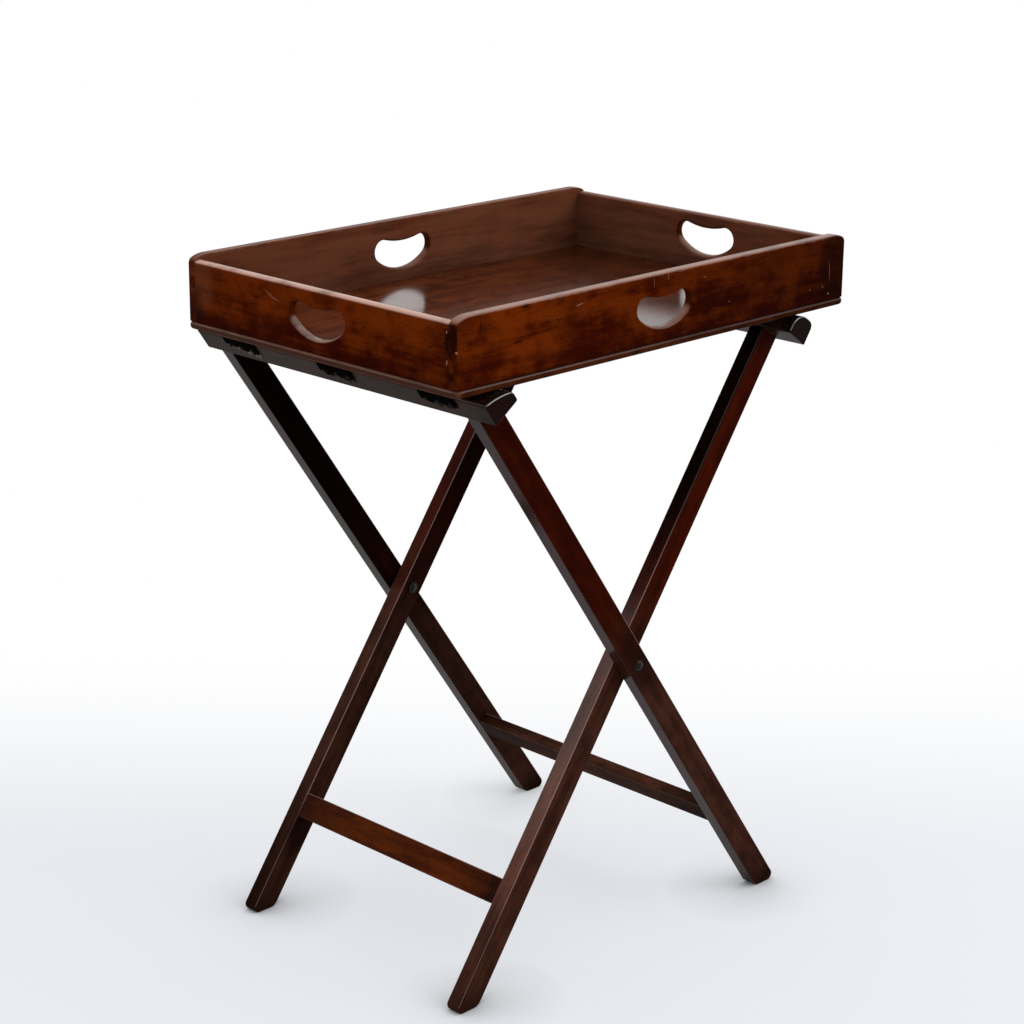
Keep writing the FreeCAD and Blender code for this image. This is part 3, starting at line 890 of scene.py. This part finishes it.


# Painted shadow: the upper part of the inner near leg's upward side face is darkened where the rail and the
# tray shade it.
UNDER_RAIL_SHADOW = Mark(DARK, (0.37, 0.0, 0.0162), (0.34, 0.04, 0.004), 0.0, 0.97, 0.0)
FOOT_DIRT = Mark(DARK, (-0.42, 0.0, 0.0162), (0.14, 0.04, 0.004), 0.0, 0.5, 0.3)
# Painted shade on the inner far leg's front face, beside the stretcher's end.
FAR_JOINT_SHADE = Mark(DARK, (-0.335, -0.0100, 0.0), (0.05, 0.003, 0.03), 0.0, 0.7, 0.4)
PIN_GRIME = Mark(DARK, (0.0, -0.0100, 0.0), (0.06, 0.004, 0.04), 0.0, 0.5, 0.3)
BAR_SHADE = Mark(DARK, (0.0, 0.0080, 0.0), (0.6, 0.003, 0.04), 0.0, 0.45, 0.0)
WALL_FACE = 0.0062
FRONT_MARKS = wall_marks(
    -WALL_FACE,
    (DARK, -0.2289, 0.0365, 0.0075, 0.003, 0.0, 0.75),
    (DARK, -0.2406, -0.0010, 0.009, 0.0018, 0.05, 0.7),
    (DARK, -0.1783, 0.0135, 0.0035, 0.0013, -0.5, 0.8),
    (PALE, -0.1437, 0.0249, 0.0085, 0.0008, 0.16, 0.6),
    (DARK, -0.2975, 0.0230, 0.0010, 0.0150, 0.0, 0.7),
    (PALE, -0.0207, 0.0315, 0.0007, 0.0080, 0.0, 0.35),
    (PALE, 0.0034, 0.0340, 0.0007, 0.0060, 0.0, 0.4),
    (PALE, 0.0681, 0.0242, 0.0013, 0.0011, 0.0, 0.6),
    (PALE, 0.1133, -0.0117, 0.0012, 0.0010, 0.0, 0.55),
    (DARK, 0.3180, 0.0, 0.0450, 0.0700, 0.0, 0.6, 0.6),
    (PALE, 0.2659, -0.0216, 0.0011, 0.0010, 0.0, 0.4),
    (PALE, 0.2905, -0.0215, 0.0015, 0.0013, 0.0, 0.45),
    (PALE, 0.3021, -0.0313, 0.0014, 0.0015, 0.0, 0.75),
    (PALE, 0.3027, -0.0030, 0.0012, 0.0170, 0.07, 0.2, 0.9),
) + (
    Mark(DARK, (-0.3318, -0.0010, 0.0150), (0.0018, 0.012, 0.0260), 0.0, 0.85, 0.9),
    Mark(PALE, (-0.3312, -0.0055, 0.0020), (0.0014, 0.003, 0.0016), 0.0, 0.9),
)
LEFT_MARKS = wall_marks(
    WALL_FACE,
    (FADED, 0.2060, 0.0120, 0.0350, 0.0450, 0.0, 0.16, 0.9),
    (PALE, 0.0806, 0.0202, 0.0110, 0.0005, 0.35, 0.2),
    (PALE, 0.0704, 0.0153, 0.0150, 0.0005, 0.28, 0.28),
    (DARK, -0.0783, 0.0075, 0.0020, 0.0014, 0.0, 0.8),
    (PALE, -0.2085, 0.0250, 0.0009, 0.0022, 0.0, 0.8),
    (DARK, 0.2180, -0.0200, 0.0300, 0.0280, 0.0, 0.4, 0.9),
) + wall_marks(
    WALL_FACE,
    (DARK, -0.2140, 0.0160, 0.0115, 0.0230, 0.12, 0.92, 1.1),
    (DARK, -0.2180, -0.0220, 0.0130, 0.0260, 0.0, 0.7, 0.8),
    depth=0.006,
) + wall_marks(
    WALL_FACE,
    (PALE, -0.2085, -0.0080, 0.0006, 0.0040, 0.05, 0.55),
    (PALE, -0.2130, -0.0100, 0.0006, 0.0030, 0.1, 0.5),
)


def dress(node: str, material: bpy.types.Material) -> None:
    """Give a solid its finish in every slot.

    Args:
        node: The solid's node.
        material: The finish.
    """
    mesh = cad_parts[node].data
    mesh.materials.clear()
    mesh.materials.append(material)
    LOG.info("dressed %s", node)


def middle_of(node: str) -> tuple[Vector, Vector]:
    """The middle and the half size of a node's box, in the part's axes."""
    low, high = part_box(node)
    return (low + high) / 2, (high - low) / 2


@dataclass
class TrayLooks:
    """The tray: its boards' finishes and its slotted screw heads."""

    timber: Timber = TRAY_TIMBER
    left_timber: Timber = WORN_AND_HIGHLIT_TIMBER
    back_timber: Timber = DULL_TIMBER
    floor_timber: Timber = FLOOR_TIMBER
    # How strongly sheen is painted on the walls' inner faces.
    inner_haze: float = 0.6
    top_lift: float = 0.11
    rim: float = 0.0142

    def walls(self) -> list[Board]:
        """The four walls.

        Returns:
            Their boards.
        """
        made = []
        for node, grain, seed, timber, rub_and_highlight, low_darkening, inner_side, tones, marks in (
            ("front_wall", Grain.ALONG_X, 4.2, self.timber, 0.72, 0.3, 1, (1.15, 0.5), FRONT_MARKS),
            ("back_wall", Grain.ALONG_X, 7.9, self.back_timber, 0.25, 0.35, -1, (1.1, 1.2), ()),
            ("left_end_wall", Grain.ALONG_Y, 2.6, self.left_timber, 0.95, 0.45, -1, (1.1, 1.05), LEFT_MARKS),
            ("right_end_wall", Grain.ALONG_Y, 9.3, self.timber, 0.35, 0.6, 1, (1.0, 0.9), ()),
        ):
            centre, half = middle_of(node)
            if grain is Grain.ALONG_Y:
                half = Vector((half.y, half.x, half.z))
            board = Board(
                node, grain, tuple(centre), tuple(half), seed, timber, rub_and_highlight, low_darkening,
                end_dirt=0.36, end_tone=0.35, marks=marks, tones=tones,
                inner_side=inner_side, inner_haze=self.inner_haze, top_lift=self.top_lift,
            )
            made.append(board)
        return made

    def floor(self) -> Board:
        """The bottom board, with painted shade along its near nose and painted light along its left nose.

        Returns:
            Its board.
        """
        centre, half = middle_of("tray_base")
        # Painted shade darkens the near nose and painted light brightens the left nose, standing in for how
        # the lamps fall on them.
        nose = (
            Mark(DARK, (0.0, -half.y, 0.0), (2.0, 0.0100, 0.05), 0.0, 0.55, 0.0),
            Mark(PALE, (-half.x, 0.0, 0.0), (0.0080, 2.0, 0.05), 0.0, 0.12, 0.0),
        )
        # The tones paint light as well: the board is paler towards its left end and darker towards its right
        # end.
        return Board(
            "tray_base", Grain.ALONG_X, tuple(centre), tuple(half), 1.7, self.floor_timber,
            low_darkening=0.35, marks=nose, tones=(1.55, 0.75), rim=self.rim,
        )

    def build(self, effects: Effects) -> None:
        """Dress the boards and the screws.

        Args:
            effects: The shared node groups.
        """
        for board in (*self.walls(), self.floor()):
            board.build(effects)
        dress("base_screws", SCREW_STEEL.material(effects))


@dataclass(frozen=True)
class LegTone:
    """How one leg is toned: its tones at foot and top on the front and the sides, which paint light and
    shade, its sheen and its marks.
    """

    front: Pair
    side: Pair
    sheen: Pair = EVEN
    marks: tuple[Mark, ...] = ()


@dataclass
class FrameLooks:
    """One crossing frame: its legs, rail and stretcher."""

    lean: Lean
    name: str
    rail_side: str
    seed: float
    near_leg: LegTone
    far_leg: LegTone
    bar_tones: Pair
    bar_marks: tuple[Mark, ...] = ()
    leg_timber: Timber = LEG_TIMBER
    bar_timber: Timber = BAR_TIMBER
    rail_timber: Timber = RAIL_TIMBER
    leg_half: Triple = (0.459, 0.010, 0.0162)
    rail_half: Triple = (0.24, 0.0205, 0.0152)
    bar_section: Pair = (0.008, 0.0155)
    tenon: float = 0.011
    end_dirt: float = 0.9
    seed_step: float = 1.37

    def boards(self) -> list[Board]:
        """The frame's wooden pieces.

        Returns:
            The boards of the legs, the rail and the stretcher.
        """
        leg_grain, bar_grain = Grain[f"{self.lean.name}_LEG"], Grain[f"{self.lean.name}_BAR"]
        seeds = [self.seed + self.seed_step * place for place in range(4)]
        made = []
        for seed, side, tone in zip(seeds, ("near", "far"), (self.near_leg, self.far_leg)):
            node = f"{self.name}_leg_{side}"
            centre = (PIVOT.x, middle_of(node)[0].y, PIVOT.z)
            leg = Board(
                node, leg_grain, centre, self.leg_half, seed, self.leg_timber, end_dirt=self.end_dirt,
                marks=tone.marks, tones=tone.front, side_tones=tone.side, tone_share=0.65, sheen=tone.sheen,
            )
            made.append(leg)
        node = f"{self.rail_side}_top_rail"
        rail = Board(
            node, bar_grain, tuple(middle_of(node)[0]), self.rail_half, seeds[2], self.rail_timber,
            end_dirt=self.end_dirt, end_reach=0.045,
        )
        node = f"{self.name}_stretcher"
        centre, box_half = middle_of(node)
        half = (box_half.y - self.tenon, *self.bar_section)
        bar = Board(
            node, bar_grain, tuple(centre), half, seeds[3], self.bar_timber,
            end_dirt=self.end_dirt, end_reach=0.11, marks=self.bar_marks, tones=self.bar_tones,
        )
        return made + [rail, bar]

    def build(self, effects: Effects) -> None:
        """Dress the frame's pieces.

        Args:
            effects: The shared node groups.
        """
        for board in self.boards():
            board.build(effects)
        dress(f"{self.rail_side}_strap_tacks", TACK_STEEL.material(effects))


def set_down(name: str, data: Any) -> bpy.types.Object:
    """Put a new object into the scene.

    Args:
        name: Its name.
        data: Its mesh, lamp or camera.

    Returns:
        The object.
    """
    made = bpy.data.objects.new(name, data)
    bpy.context.collection.objects.link(made)
    return made


def new_piece(
    name: str,
    points: Sequence[Vector],
    faces: Sequence[Sequence[int]],
    material: bpy.types.Material,
    flat: Sequence[Pair],
) -> bpy.types.Object:
    """Make a smooth mesh piece.

    Args:
        name: The piece's name.
        points: Its points, in the part's frame.
        faces: The points' places in each face.
        material: Its finish.
        flat: Each point's place on the flat cloth.

    Returns:
        The new object.
    """
    mesh = bpy.data.meshes.new(name)
    mesh.from_pydata([tuple(point) for point in points], [], [tuple(face) for face in faces])
    mesh.polygons.foreach_set("use_smooth", [True] * len(mesh.polygons))
    layer = mesh.uv_layers.new(name="cloth")
    for loop in mesh.loops:
        layer.data[loop.index].uv = flat[loop.vertex_index]
    mesh.materials.append(material)
    mesh.update()
    LOG.info("made %s", name)
    return set_down(name, mesh)


@dataclass(frozen=True)
class RailShape:
    """A top rail's section in its frame's upright axes, out of the stand and up from the pivot."""

    width: float
    top_tilt: float
    crown_radius: float
    outer_round: float
    outer_face: float = 0.0162
    highest: float = 0.7581
    top_radius: float = 0.110

    def crown(self) -> Vector:
        """The centre of the rounding at the highest line.

        Returns:
            The centre, in the section's axes.
        """
        out = self.outer_face - self.width + self.crown_radius
        rise = self.highest - self.crown_radius - PIVOT.z
        return Vector((out, (rise + out * math.sin(LEG_ANGLE)) / math.cos(LEG_ANGLE)))

    def top(self) -> Vector:
        """The centre of the top's shallow crown."""
        run = self.top_radius - self.crown_radius
        return self.crown() + run * Vector((math.sin(self.top_tilt), -math.cos(self.top_tilt)))

    def edge(self) -> Vector:
        """The centre of the outer edge's small rounding.

        Returns:
            The centre, in the section's axes.
        """
        top = self.top()
        out = self.outer_face - self.outer_round
        reach = self.top_radius - self.outer_round
        return Vector((out, top.y + math.sqrt(reach ** 2 - (out - top.x) ** 2)))

    def over(self, lift: float) -> list[Vector]:
        """The line of a strap from the outer face over the top to the highest line.

        Args:
            lift: The line's distance from the rail.

        Returns:
            Points from the outer face to the highest line.
        """
        bend = (self.edge() - self.top()).angle_signed(Vector((1, 0)))
        crest = math.pi / 2 + self.top_tilt
        end = math.pi / 2 + LEG_ANGLE
        points = []
        for centre, radius, first, last, count in (
            (self.edge(), self.outer_round, 0.0, bend, 5),
            (self.top(), self.top_radius, bend, crest, 9),
            (self.crown(), self.crown_radius, crest, end, 6),
            (self.crown(), self.crown_radius, end, end, 1),
        ):
            for place in range(count):
                angle = first + (last - first) * place / count
                points.append(centre + (radius + lift) * Vector((math.cos(angle), math.sin(angle))))
        return points

    def placed(self, lean: Lean, point: Vector, y: float) -> Vector:
        """Lean a point of the section to its place in the part's frame.

        Args:
            lean: Which way the frame leans.
            point: The point, in the section's axes.
            y: Its place along the rail.

        Returns:
            The point in the part's frame.
        """
        sine, cosine = math.sin(LEG_ANGLE), math.cos(LEG_ANGLE)
        x = lean.value * (point.x * cosine + point.y * sine)
        return PIVOT + Vector((x, y, point.y * cosine - point.x * sine))


RAIL_SHAPES = {
    Lean.OUTER: RailShape(0.0398, math.radians(31.0), 0.010, 0.003),
    Lean.INNER: RailShape(0.036, math.radians(5.0), 0.0195, 0.009),
}


@dataclass
class StrapLooks:
    """One half of a webbing strap: a frayed tail on a rail, a wrap over it and half of the free span."""

    lean: Lean
    name: str
    middle_y: float
    seed: int
    width: float = 0.057
    thickness: float = 0.002
    seat_gap: float = 0.0001
    tail_far: float = 0.0095
    tail_near: float = 0.0135
    tooth: float = 0.0034
    tooth_width: float = 0.0045
    thread_tooth: float = 0.0009
    columns: int = 44
    tail_rows: int = 6
    span_rows: int = 26
    sag: float = 0.005
    neck: float = 0.0022
    edge_thinning: float = 0.0006
    threads: int = 34
    thread_radius: float = 0.00033
    thread_reach: float = 0.0085
    thread_root: float = 0.002
    thread_sides: int = 5
    thread_steps: int = 6

    def __post_init__(self) -> None:
        """Take the rail's shape and draw the tail's ragged line."""
        self.rail = RAIL_SHAPES[self.lean]
        self.random = random.Random(self.seed)
        count = math.ceil(self.width / self.tooth_width) + 2
        self.teeth = [self.random.uniform(-self.tooth, self.tooth) for _ in range(count)]
        self.tails = [self.tail_at(place / self.columns) for place in range(self.columns + 1)]

    def tail_at(self, share: float) -> float:
        """The tail's length at one place across the strap.

        Args:
            share: The place as a share of the width, counted from the near edge.

        Returns:
            The length, with its tooth and its thread's own raggedness.
        """
        slant = self.tail_near + (self.tail_far - self.tail_near) * share
        place, rest = divmod(share * self.width / self.tooth_width, 1.0)
        first, last = self.teeth[int(place)], self.teeth[int(place) + 1]
        tooth = first + (last - first) * (3 - 2 * rest) * rest ** 2
        return slant + tooth + self.random.uniform(-self.thread_tooth, self.thread_tooth)

    def column(self, lift: float, tail: float, y: float) -> list[Vector]:
        """One line along the strap, with the free span's slack and its edges' necking.

        Args:
            lift: The line's distance from the rail.
            tail: The tail's length.
            y: The line's place along the rail.

        Returns:
            Points from the tail to the middle of the span, in the part's frame.
        """
        out, edge = self.rail.outer_face + lift, self.rail.edge()
        rows = [Vector((out, edge.y - tail * (1 - row / self.tail_rows))) for row in range(self.tail_rows)]
        points = [self.rail.placed(self.lean, point, y) for point in rows + self.rail.over(lift)]
        start = points[-1]
        inward = (self.middle_y - y) / (self.width / 2) * self.neck
        for row in range(1, self.span_rows + 1):
            share = row / self.span_rows
            drop = self.sag * math.sin(share * math.pi / 2) ** 2
            across = y + inward * math.sqrt(share)
            points.append(Vector((start.x + (PIVOT.x - start.x) * share, across, start.z - drop)))
        return points

    def cloth(self, material: bpy.types.Material) -> bpy.types.Object:
        """Weave the strap's half as a band with its thickness, open where the halves meet.

        Args:
            material: The webbing's finish.

        Returns:
            The band.
        """
        points: list[Vector] = []
        flat: list[Pair] = []
        over, under = [], []
        for place, tail in enumerate(self.tails):
            across = (place / self.columns - 0.5) * self.width
            thin = self.edge_thinning if place in (0, self.columns) else 0.0
            lifts = (self.seat_gap + self.thickness - thin, self.seat_gap + thin)
            for sheet, lift in zip((over, under), lifts):
                line = self.column(lift, tail, self.middle_y + across)
                sheet.append(list(range(len(points), len(points) + len(line))))
                along = 0.0
                for row, point in enumerate(line):
                    along += (point - line[row - 1]).length if row else self.tail_near - tail
                    points.append(point)
                    flat.append((along, across))
        faces = []
        rows = range(len(over[0]) - 1)
        way = self.lean.value

        def quad(first: list[int], last: list[int], row: int, order: int) -> None:
            """Add the face between two lines at a row."""
            faces.append([first[row], first[row + 1], last[row + 1], last[row]][::order * way])

        for place in range(self.columns):
            for row in rows:
                quad(over[place], over[place + 1], row, 1)
                quad(under[place], under[place + 1], row, -1)
            hem = [over[place][0], over[place + 1][0], under[place + 1][0], under[place][0]]
            faces.append(hem[::way])
        for row in rows:
            quad(over[0], under[0], row, -1)
        for row in rows:
            quad(over[-1], under[-1], row, 1)
        return new_piece(f"{self.name}_webbing", points, faces, material, flat)

    def fray(self, material: bpy.types.Material) -> bpy.types.Object:
        """Spin the loose threads at the tail.

        Args:
            material: The threads' finish.

        Returns:
            The threads as one piece.
        """
        points: list[Vector] = []
        faces: list[list[int]] = []
        flat: list[Pair] = []
        edge = self.rail.edge()
        sides, steps = self.thread_sides, self.thread_steps
        for _ in range(self.threads):
            place = self.random.randrange(self.columns)
            y = self.middle_y + (place / self.columns - 0.5) * self.width
            up = edge.y - self.tails[place] + self.thread_root
            reach = self.random.uniform(0.35, 1.0) * self.thread_reach
            drift = self.random.uniform(-0.5, 0.5) * reach
            lift = self.seat_gap + self.random.uniform(0.3, 0.8) * self.thickness
            first = len(points)
            for step in range(steps):
                share = step / (steps - 1)
                centre_y = y + drift * share ** 2
                radius = self.thread_radius * (1.0 - 0.5 * share)
                height = self.thread_radius + (lift - self.thread_radius) * (1 - share) ** 2
                for side in range(sides):
                    angle = 2 * math.pi * side / sides
                    out = self.rail.outer_face + height + radius * math.sin(angle)
                    spot = Vector((out, up - reach * share))
                    points.append(self.rail.placed(self.lean, spot, centre_y + radius * math.cos(angle)))
                    flat.append((centre_y + reach * share, 3.0 * y + radius * angle))
            for step in range(steps - 1):
                for side in range(sides):
                    a, b = first + step * sides + side, first + step * sides + (side + 1) % sides
                    faces.append([a, b, b + sides, a + sides])
            last = first + (steps - 1) * sides
            faces.append(list(range(last, last + sides)))
        return new_piece(f"{self.name}_fray", points, faces, material, flat)

    def build(self, material: bpy.types.Material, fray_material: bpy.types.Material) -> None:
        """Make the half strap and its fray, and hang the fray on its frame's body.

        Args:
            material: The webbing's finish.
            fray_material: The loose threads' finish.
        """
        outer = self.lean is Lean.OUTER
        body, rail_side = ("outer_frame", "left") if outer else ("inner_frame", "right")
        place = self.name.rsplit("_", 1)[1]
        cloth, fray = self.cloth(material), self.fray(fray_material)
        line = self.column(self.seat_gap, self.tail_near, self.middle_y)
        crest = line[self.tail_rows + len(self.rail.over(0.0)) - 1]
        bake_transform(cloth)
        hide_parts(f"{rail_side}_strap_end_{place}", *([f"strap_{place}"] if outer else []))
        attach(fray, body)


@dataclass
class Straps:
    """The three webbing straps, in halves that meet over the pivot; the far one frays pale and thick."""

    spacing: float = 0.166
    far_tail: float = 0.0050
    far_threads: int = 190
    far_thread_radius: float = 0.00042

    def build(self, effects: Effects) -> None:
        """Make the six halves.

        Args:
            effects: The shared node groups.
        """
        dark, pale = STRAP_CLOTH.material(effects), PALE_FRAY.material(effects)
        places = (("near", -self.spacing), ("middle", 0.0), ("far", self.spacing))
        far = dict(tail_far=self.far_tail, threads=self.far_threads, thread_radius=self.far_thread_radius)
        for number, (place, middle_y) in enumerate(places):
            for lean, side, seed in ((Lean.OUTER, "left", 31), (Lean.INNER, "right", 41)):
                own = far if place == "far" else {}
                strap = StrapLooks(lean, f"{side}_strap_{place}", middle_y, seed + number, **own)
                strap.build(dark, pale if own else dark)


@dataclass
class PivotLooks:
    """The pins and washers of the two crossings."""

    nodes: Sequence[str] = ("pivot_pin_near", "pivot_pin_far", "spacer_washers", "burr_washers")

    def build(self, effects: Effects) -> None:
        """Dress the pins and washers.

        Args:
            effects: The shared node groups.
        """
        finish = PIN_STEEL.material(effects)
        for node in self.nodes:
            dress(node, finish)


@dataclass(frozen=True)
class Lamp:
    """A soft square lamp: where it hangs, what it points at, its side and its power in watts."""

    name: str
    place: Triple
    aim: Triple
    side: float
    watts: float

    def build(self) -> None:
        """Hang the lamp."""
        data = bpy.data.lights.new(self.name, "AREA")
        data.size = self.side
        data.energy = self.watts
        made = set_down(self.name, data)
        made.location = self.place
        made.rotation_euler = (Vector(self.aim) - Vector(self.place)).to_track_quat("-Z", "Y").to_euler()


@dataclass
class Studio:
    """The plain stage: a pale floor, soft lights and the camera."""

    camera_place: Triple = (-2.1392, -2.0833, 1.4582)
    camera_azimuth: float = math.radians(-45.68)
    camera_elevation: float = math.radians(17.61)
    camera_roll: float = math.radians(0.56)
    camera_end: float = 60.0
    image_pixels: float = 1024.0
    focal_pixels: float = 2537.95
    sensor: float = 36.0
    sky_light: float = 0.95
    floor_size: float = 30.0
    floor_colour: Triple = (0.815, 0.835, 0.875)
    shade_lift: float = 0.62
    contact_reach: float = 0.1
    contact_power: float = 1.6
    contact_samples: int = 16
    away: Triple = (0.7164, 0.6977, 0.0)
    white_behind: Pair = (0.05, 0.85)
    white_ring: Pair = (0.95, 1.6)
    lamps: tuple[Lamp, ...] = (
        Lamp("key_lamp", (1.6, -2.4, 2.6), (0.0, 0.0, 0.5), 1.8, 30.0),
        Lamp("top_lamp", (0.2, 0.3, 3.2), (0.0, 0.0, 0.7), 2.4, 6.0),
    )

    def camera(self) -> None:
        """Set the camera where the photograph was taken from."""
        data = bpy.data.cameras.new("camera")
        data.sensor_width = self.sensor
        data.lens = self.sensor * self.focal_pixels / self.image_pixels
        data.clip_end = self.camera_end
        azimuth, elevation, roll = self.camera_azimuth, self.camera_elevation, self.camera_roll
        level = math.cos(elevation)
        back = Vector((math.sin(azimuth) * level, -math.cos(azimuth) * level, math.sin(elevation)))
        right = (-back).cross(Vector((0, 0, 1))).normalized()
        up = right.cross(-back)
        turned_right = math.cos(roll) * right + math.sin(roll) * up
        turned_up = math.cos(roll) * up - math.sin(roll) * right
        turn = Matrix((turned_right, turned_up, back)).transposed()
        made = set_down("camera", data)
        made.matrix_world = Matrix.Translation(self.camera_place) @ turn.to_4x4()
        bpy.context.scene.camera = made

    def looked_at(self, tree: Tree) -> Socket:
        """One where a surface is seen straight, mirrored or refracted, and nought where it only gives light.

        Args:
            tree: The material's or world's tree.

        Returns:
            The mask.
        """
        path = tree.node("ShaderNodeLightPath").outputs
        seen = tree.most(path["Is Camera Ray"], path["Is Glossy Ray"])
        return tree.most(seen, path["Is Transmission Ray"])

    def floor_finish(self) -> bpy.types.Material:
        """Make a pale floor that keeps the lamps' shadow, glows with a painted contact shadow where it is
        seen, and fades to white behind and around.

        Returns:
            A new material.
        """
        tree = Finish(bpy.data.materials.new("floor_finish"))
        place = tree.node("ShaderNodeTexCoord").outputs["Object"]
        behind = tree.step(tree.vector("DOT_PRODUCT", place, self.away), *self.white_behind)
        around = tree.step(tree.vector("LENGTH", place), *self.white_ring)
        fade = tree.times(tree.most(behind, around), self.looked_at(tree))
        plain = tree.node("ShaderNodeBsdfDiffuse", {"Color": self.floor_colour}).outputs[0]
        # Painted contact shadow: where the floor is seen, its glow darkens as the nearby legs and stretchers
        # hide more of the sky.
        near = {"Distance": self.contact_reach}
        open_sky = tree.node("ShaderNodeAmbientOcclusion", near, samples=self.contact_samples).outputs["AO"]
        painted_contact_shadow = tree.math("POWER", open_sky, self.contact_power)
        glow_with_painted_shadow = tree.node("ShaderNodeEmission", {"Color": self.floor_colour, "Strength": painted_contact_shadow}).outputs[0]
        lifted = tree.times(self.looked_at(tree), self.shade_lift)
        plain = tree.node("ShaderNodeMixShader", {0: lifted, 1: plain, 2: glow_with_painted_shadow}).outputs[0]
        white = tree.node("ShaderNodeEmission", {"Color": WHITE, "Strength": 1.0}).outputs[0]
        tree.end_in("ShaderNodeMixShader", {0: fade, 1: plain, 2: white})
        return tree.owner

    def floor(self) -> None:
        """Lay the large floor."""
        mesh = bpy.data.meshes.new("floor")
        reach = self.floor_size
        corners = [(-reach, -reach, 0), (reach, -reach, 0), (reach, reach, 0), (-reach, reach, 0)]
        mesh.from_pydata(corners, [], [(0, 1, 2, 3)])
        mesh.materials.append(self.floor_finish())
        set_down("floor", mesh)

    def world(self) -> None:
        """Fill the surroundings with soft white light, pure white where it is seen or mirrored."""
        world = bpy.data.worlds.new("studio")
        bpy.context.scene.world = world
        tree = Finish(world)
        strength = tree.step(self.looked_at(tree), 0.0, 1.0, self.sky_light, 1.0)
        tree.end_in("ShaderNodeBackground", {"Color": WHITE, "Strength": strength}, "ShaderNodeOutputWorld")

    def build(self) -> None:
        """Set the whole stage."""
        self.camera()
        self.floor()
        self.world()
        for lamp in self.lamps:
            lamp.build()
        bpy.context.scene.view_settings.view_transform = "Standard"


def main() -> None:
    """Build each sub-assembly's looks in order, then set the stage."""
    logging.basicConfig(level=logging.INFO, format="%(name)s: %(message)s")
    effects = Effects()
    # The legs' tones paint light and shade: the far legs darken up towards the tray that shades them, the
    # upward sides of the inner legs are painted lighter and the downward sides of the outer legs darker.
    outer = FrameLooks(
        Lean.OUTER, "outer", "left", 11.3,
        near_leg=LegTone((0.87, 0.78), (0.7, 0.7), marks=(PIN_GRIME,)),
        far_leg=LegTone((0.55, 0.06), (0.5, 0.4)),
        bar_tones=(0.6, 0.6), bar_marks=(BAR_SHADE,), leg_timber=OUTER_TIMBER, bar_timber=DULL_BAR,
    )
    inner = FrameLooks(
        Lean.INNER, "inner", "right", 21.9,
        near_leg=LegTone((0.88, 1.0), (2.1, 1.5), (0.05, 1.0), (UNDER_RAIL_SHADOW, FOOT_DIRT)),
        far_leg=LegTone((0.7, 0.1), (0.85, 1.6), (0.0, 0.08), (FOOT_DIRT, FAR_JOINT_SHADE)),
        bar_tones=(0.82, 0.55),
    )
    for looks in (TrayLooks(), outer, inner, PivotLooks(), Straps()):
        looks.build(effects)
    Studio().build()


if __name__ == "__main__":
    main()
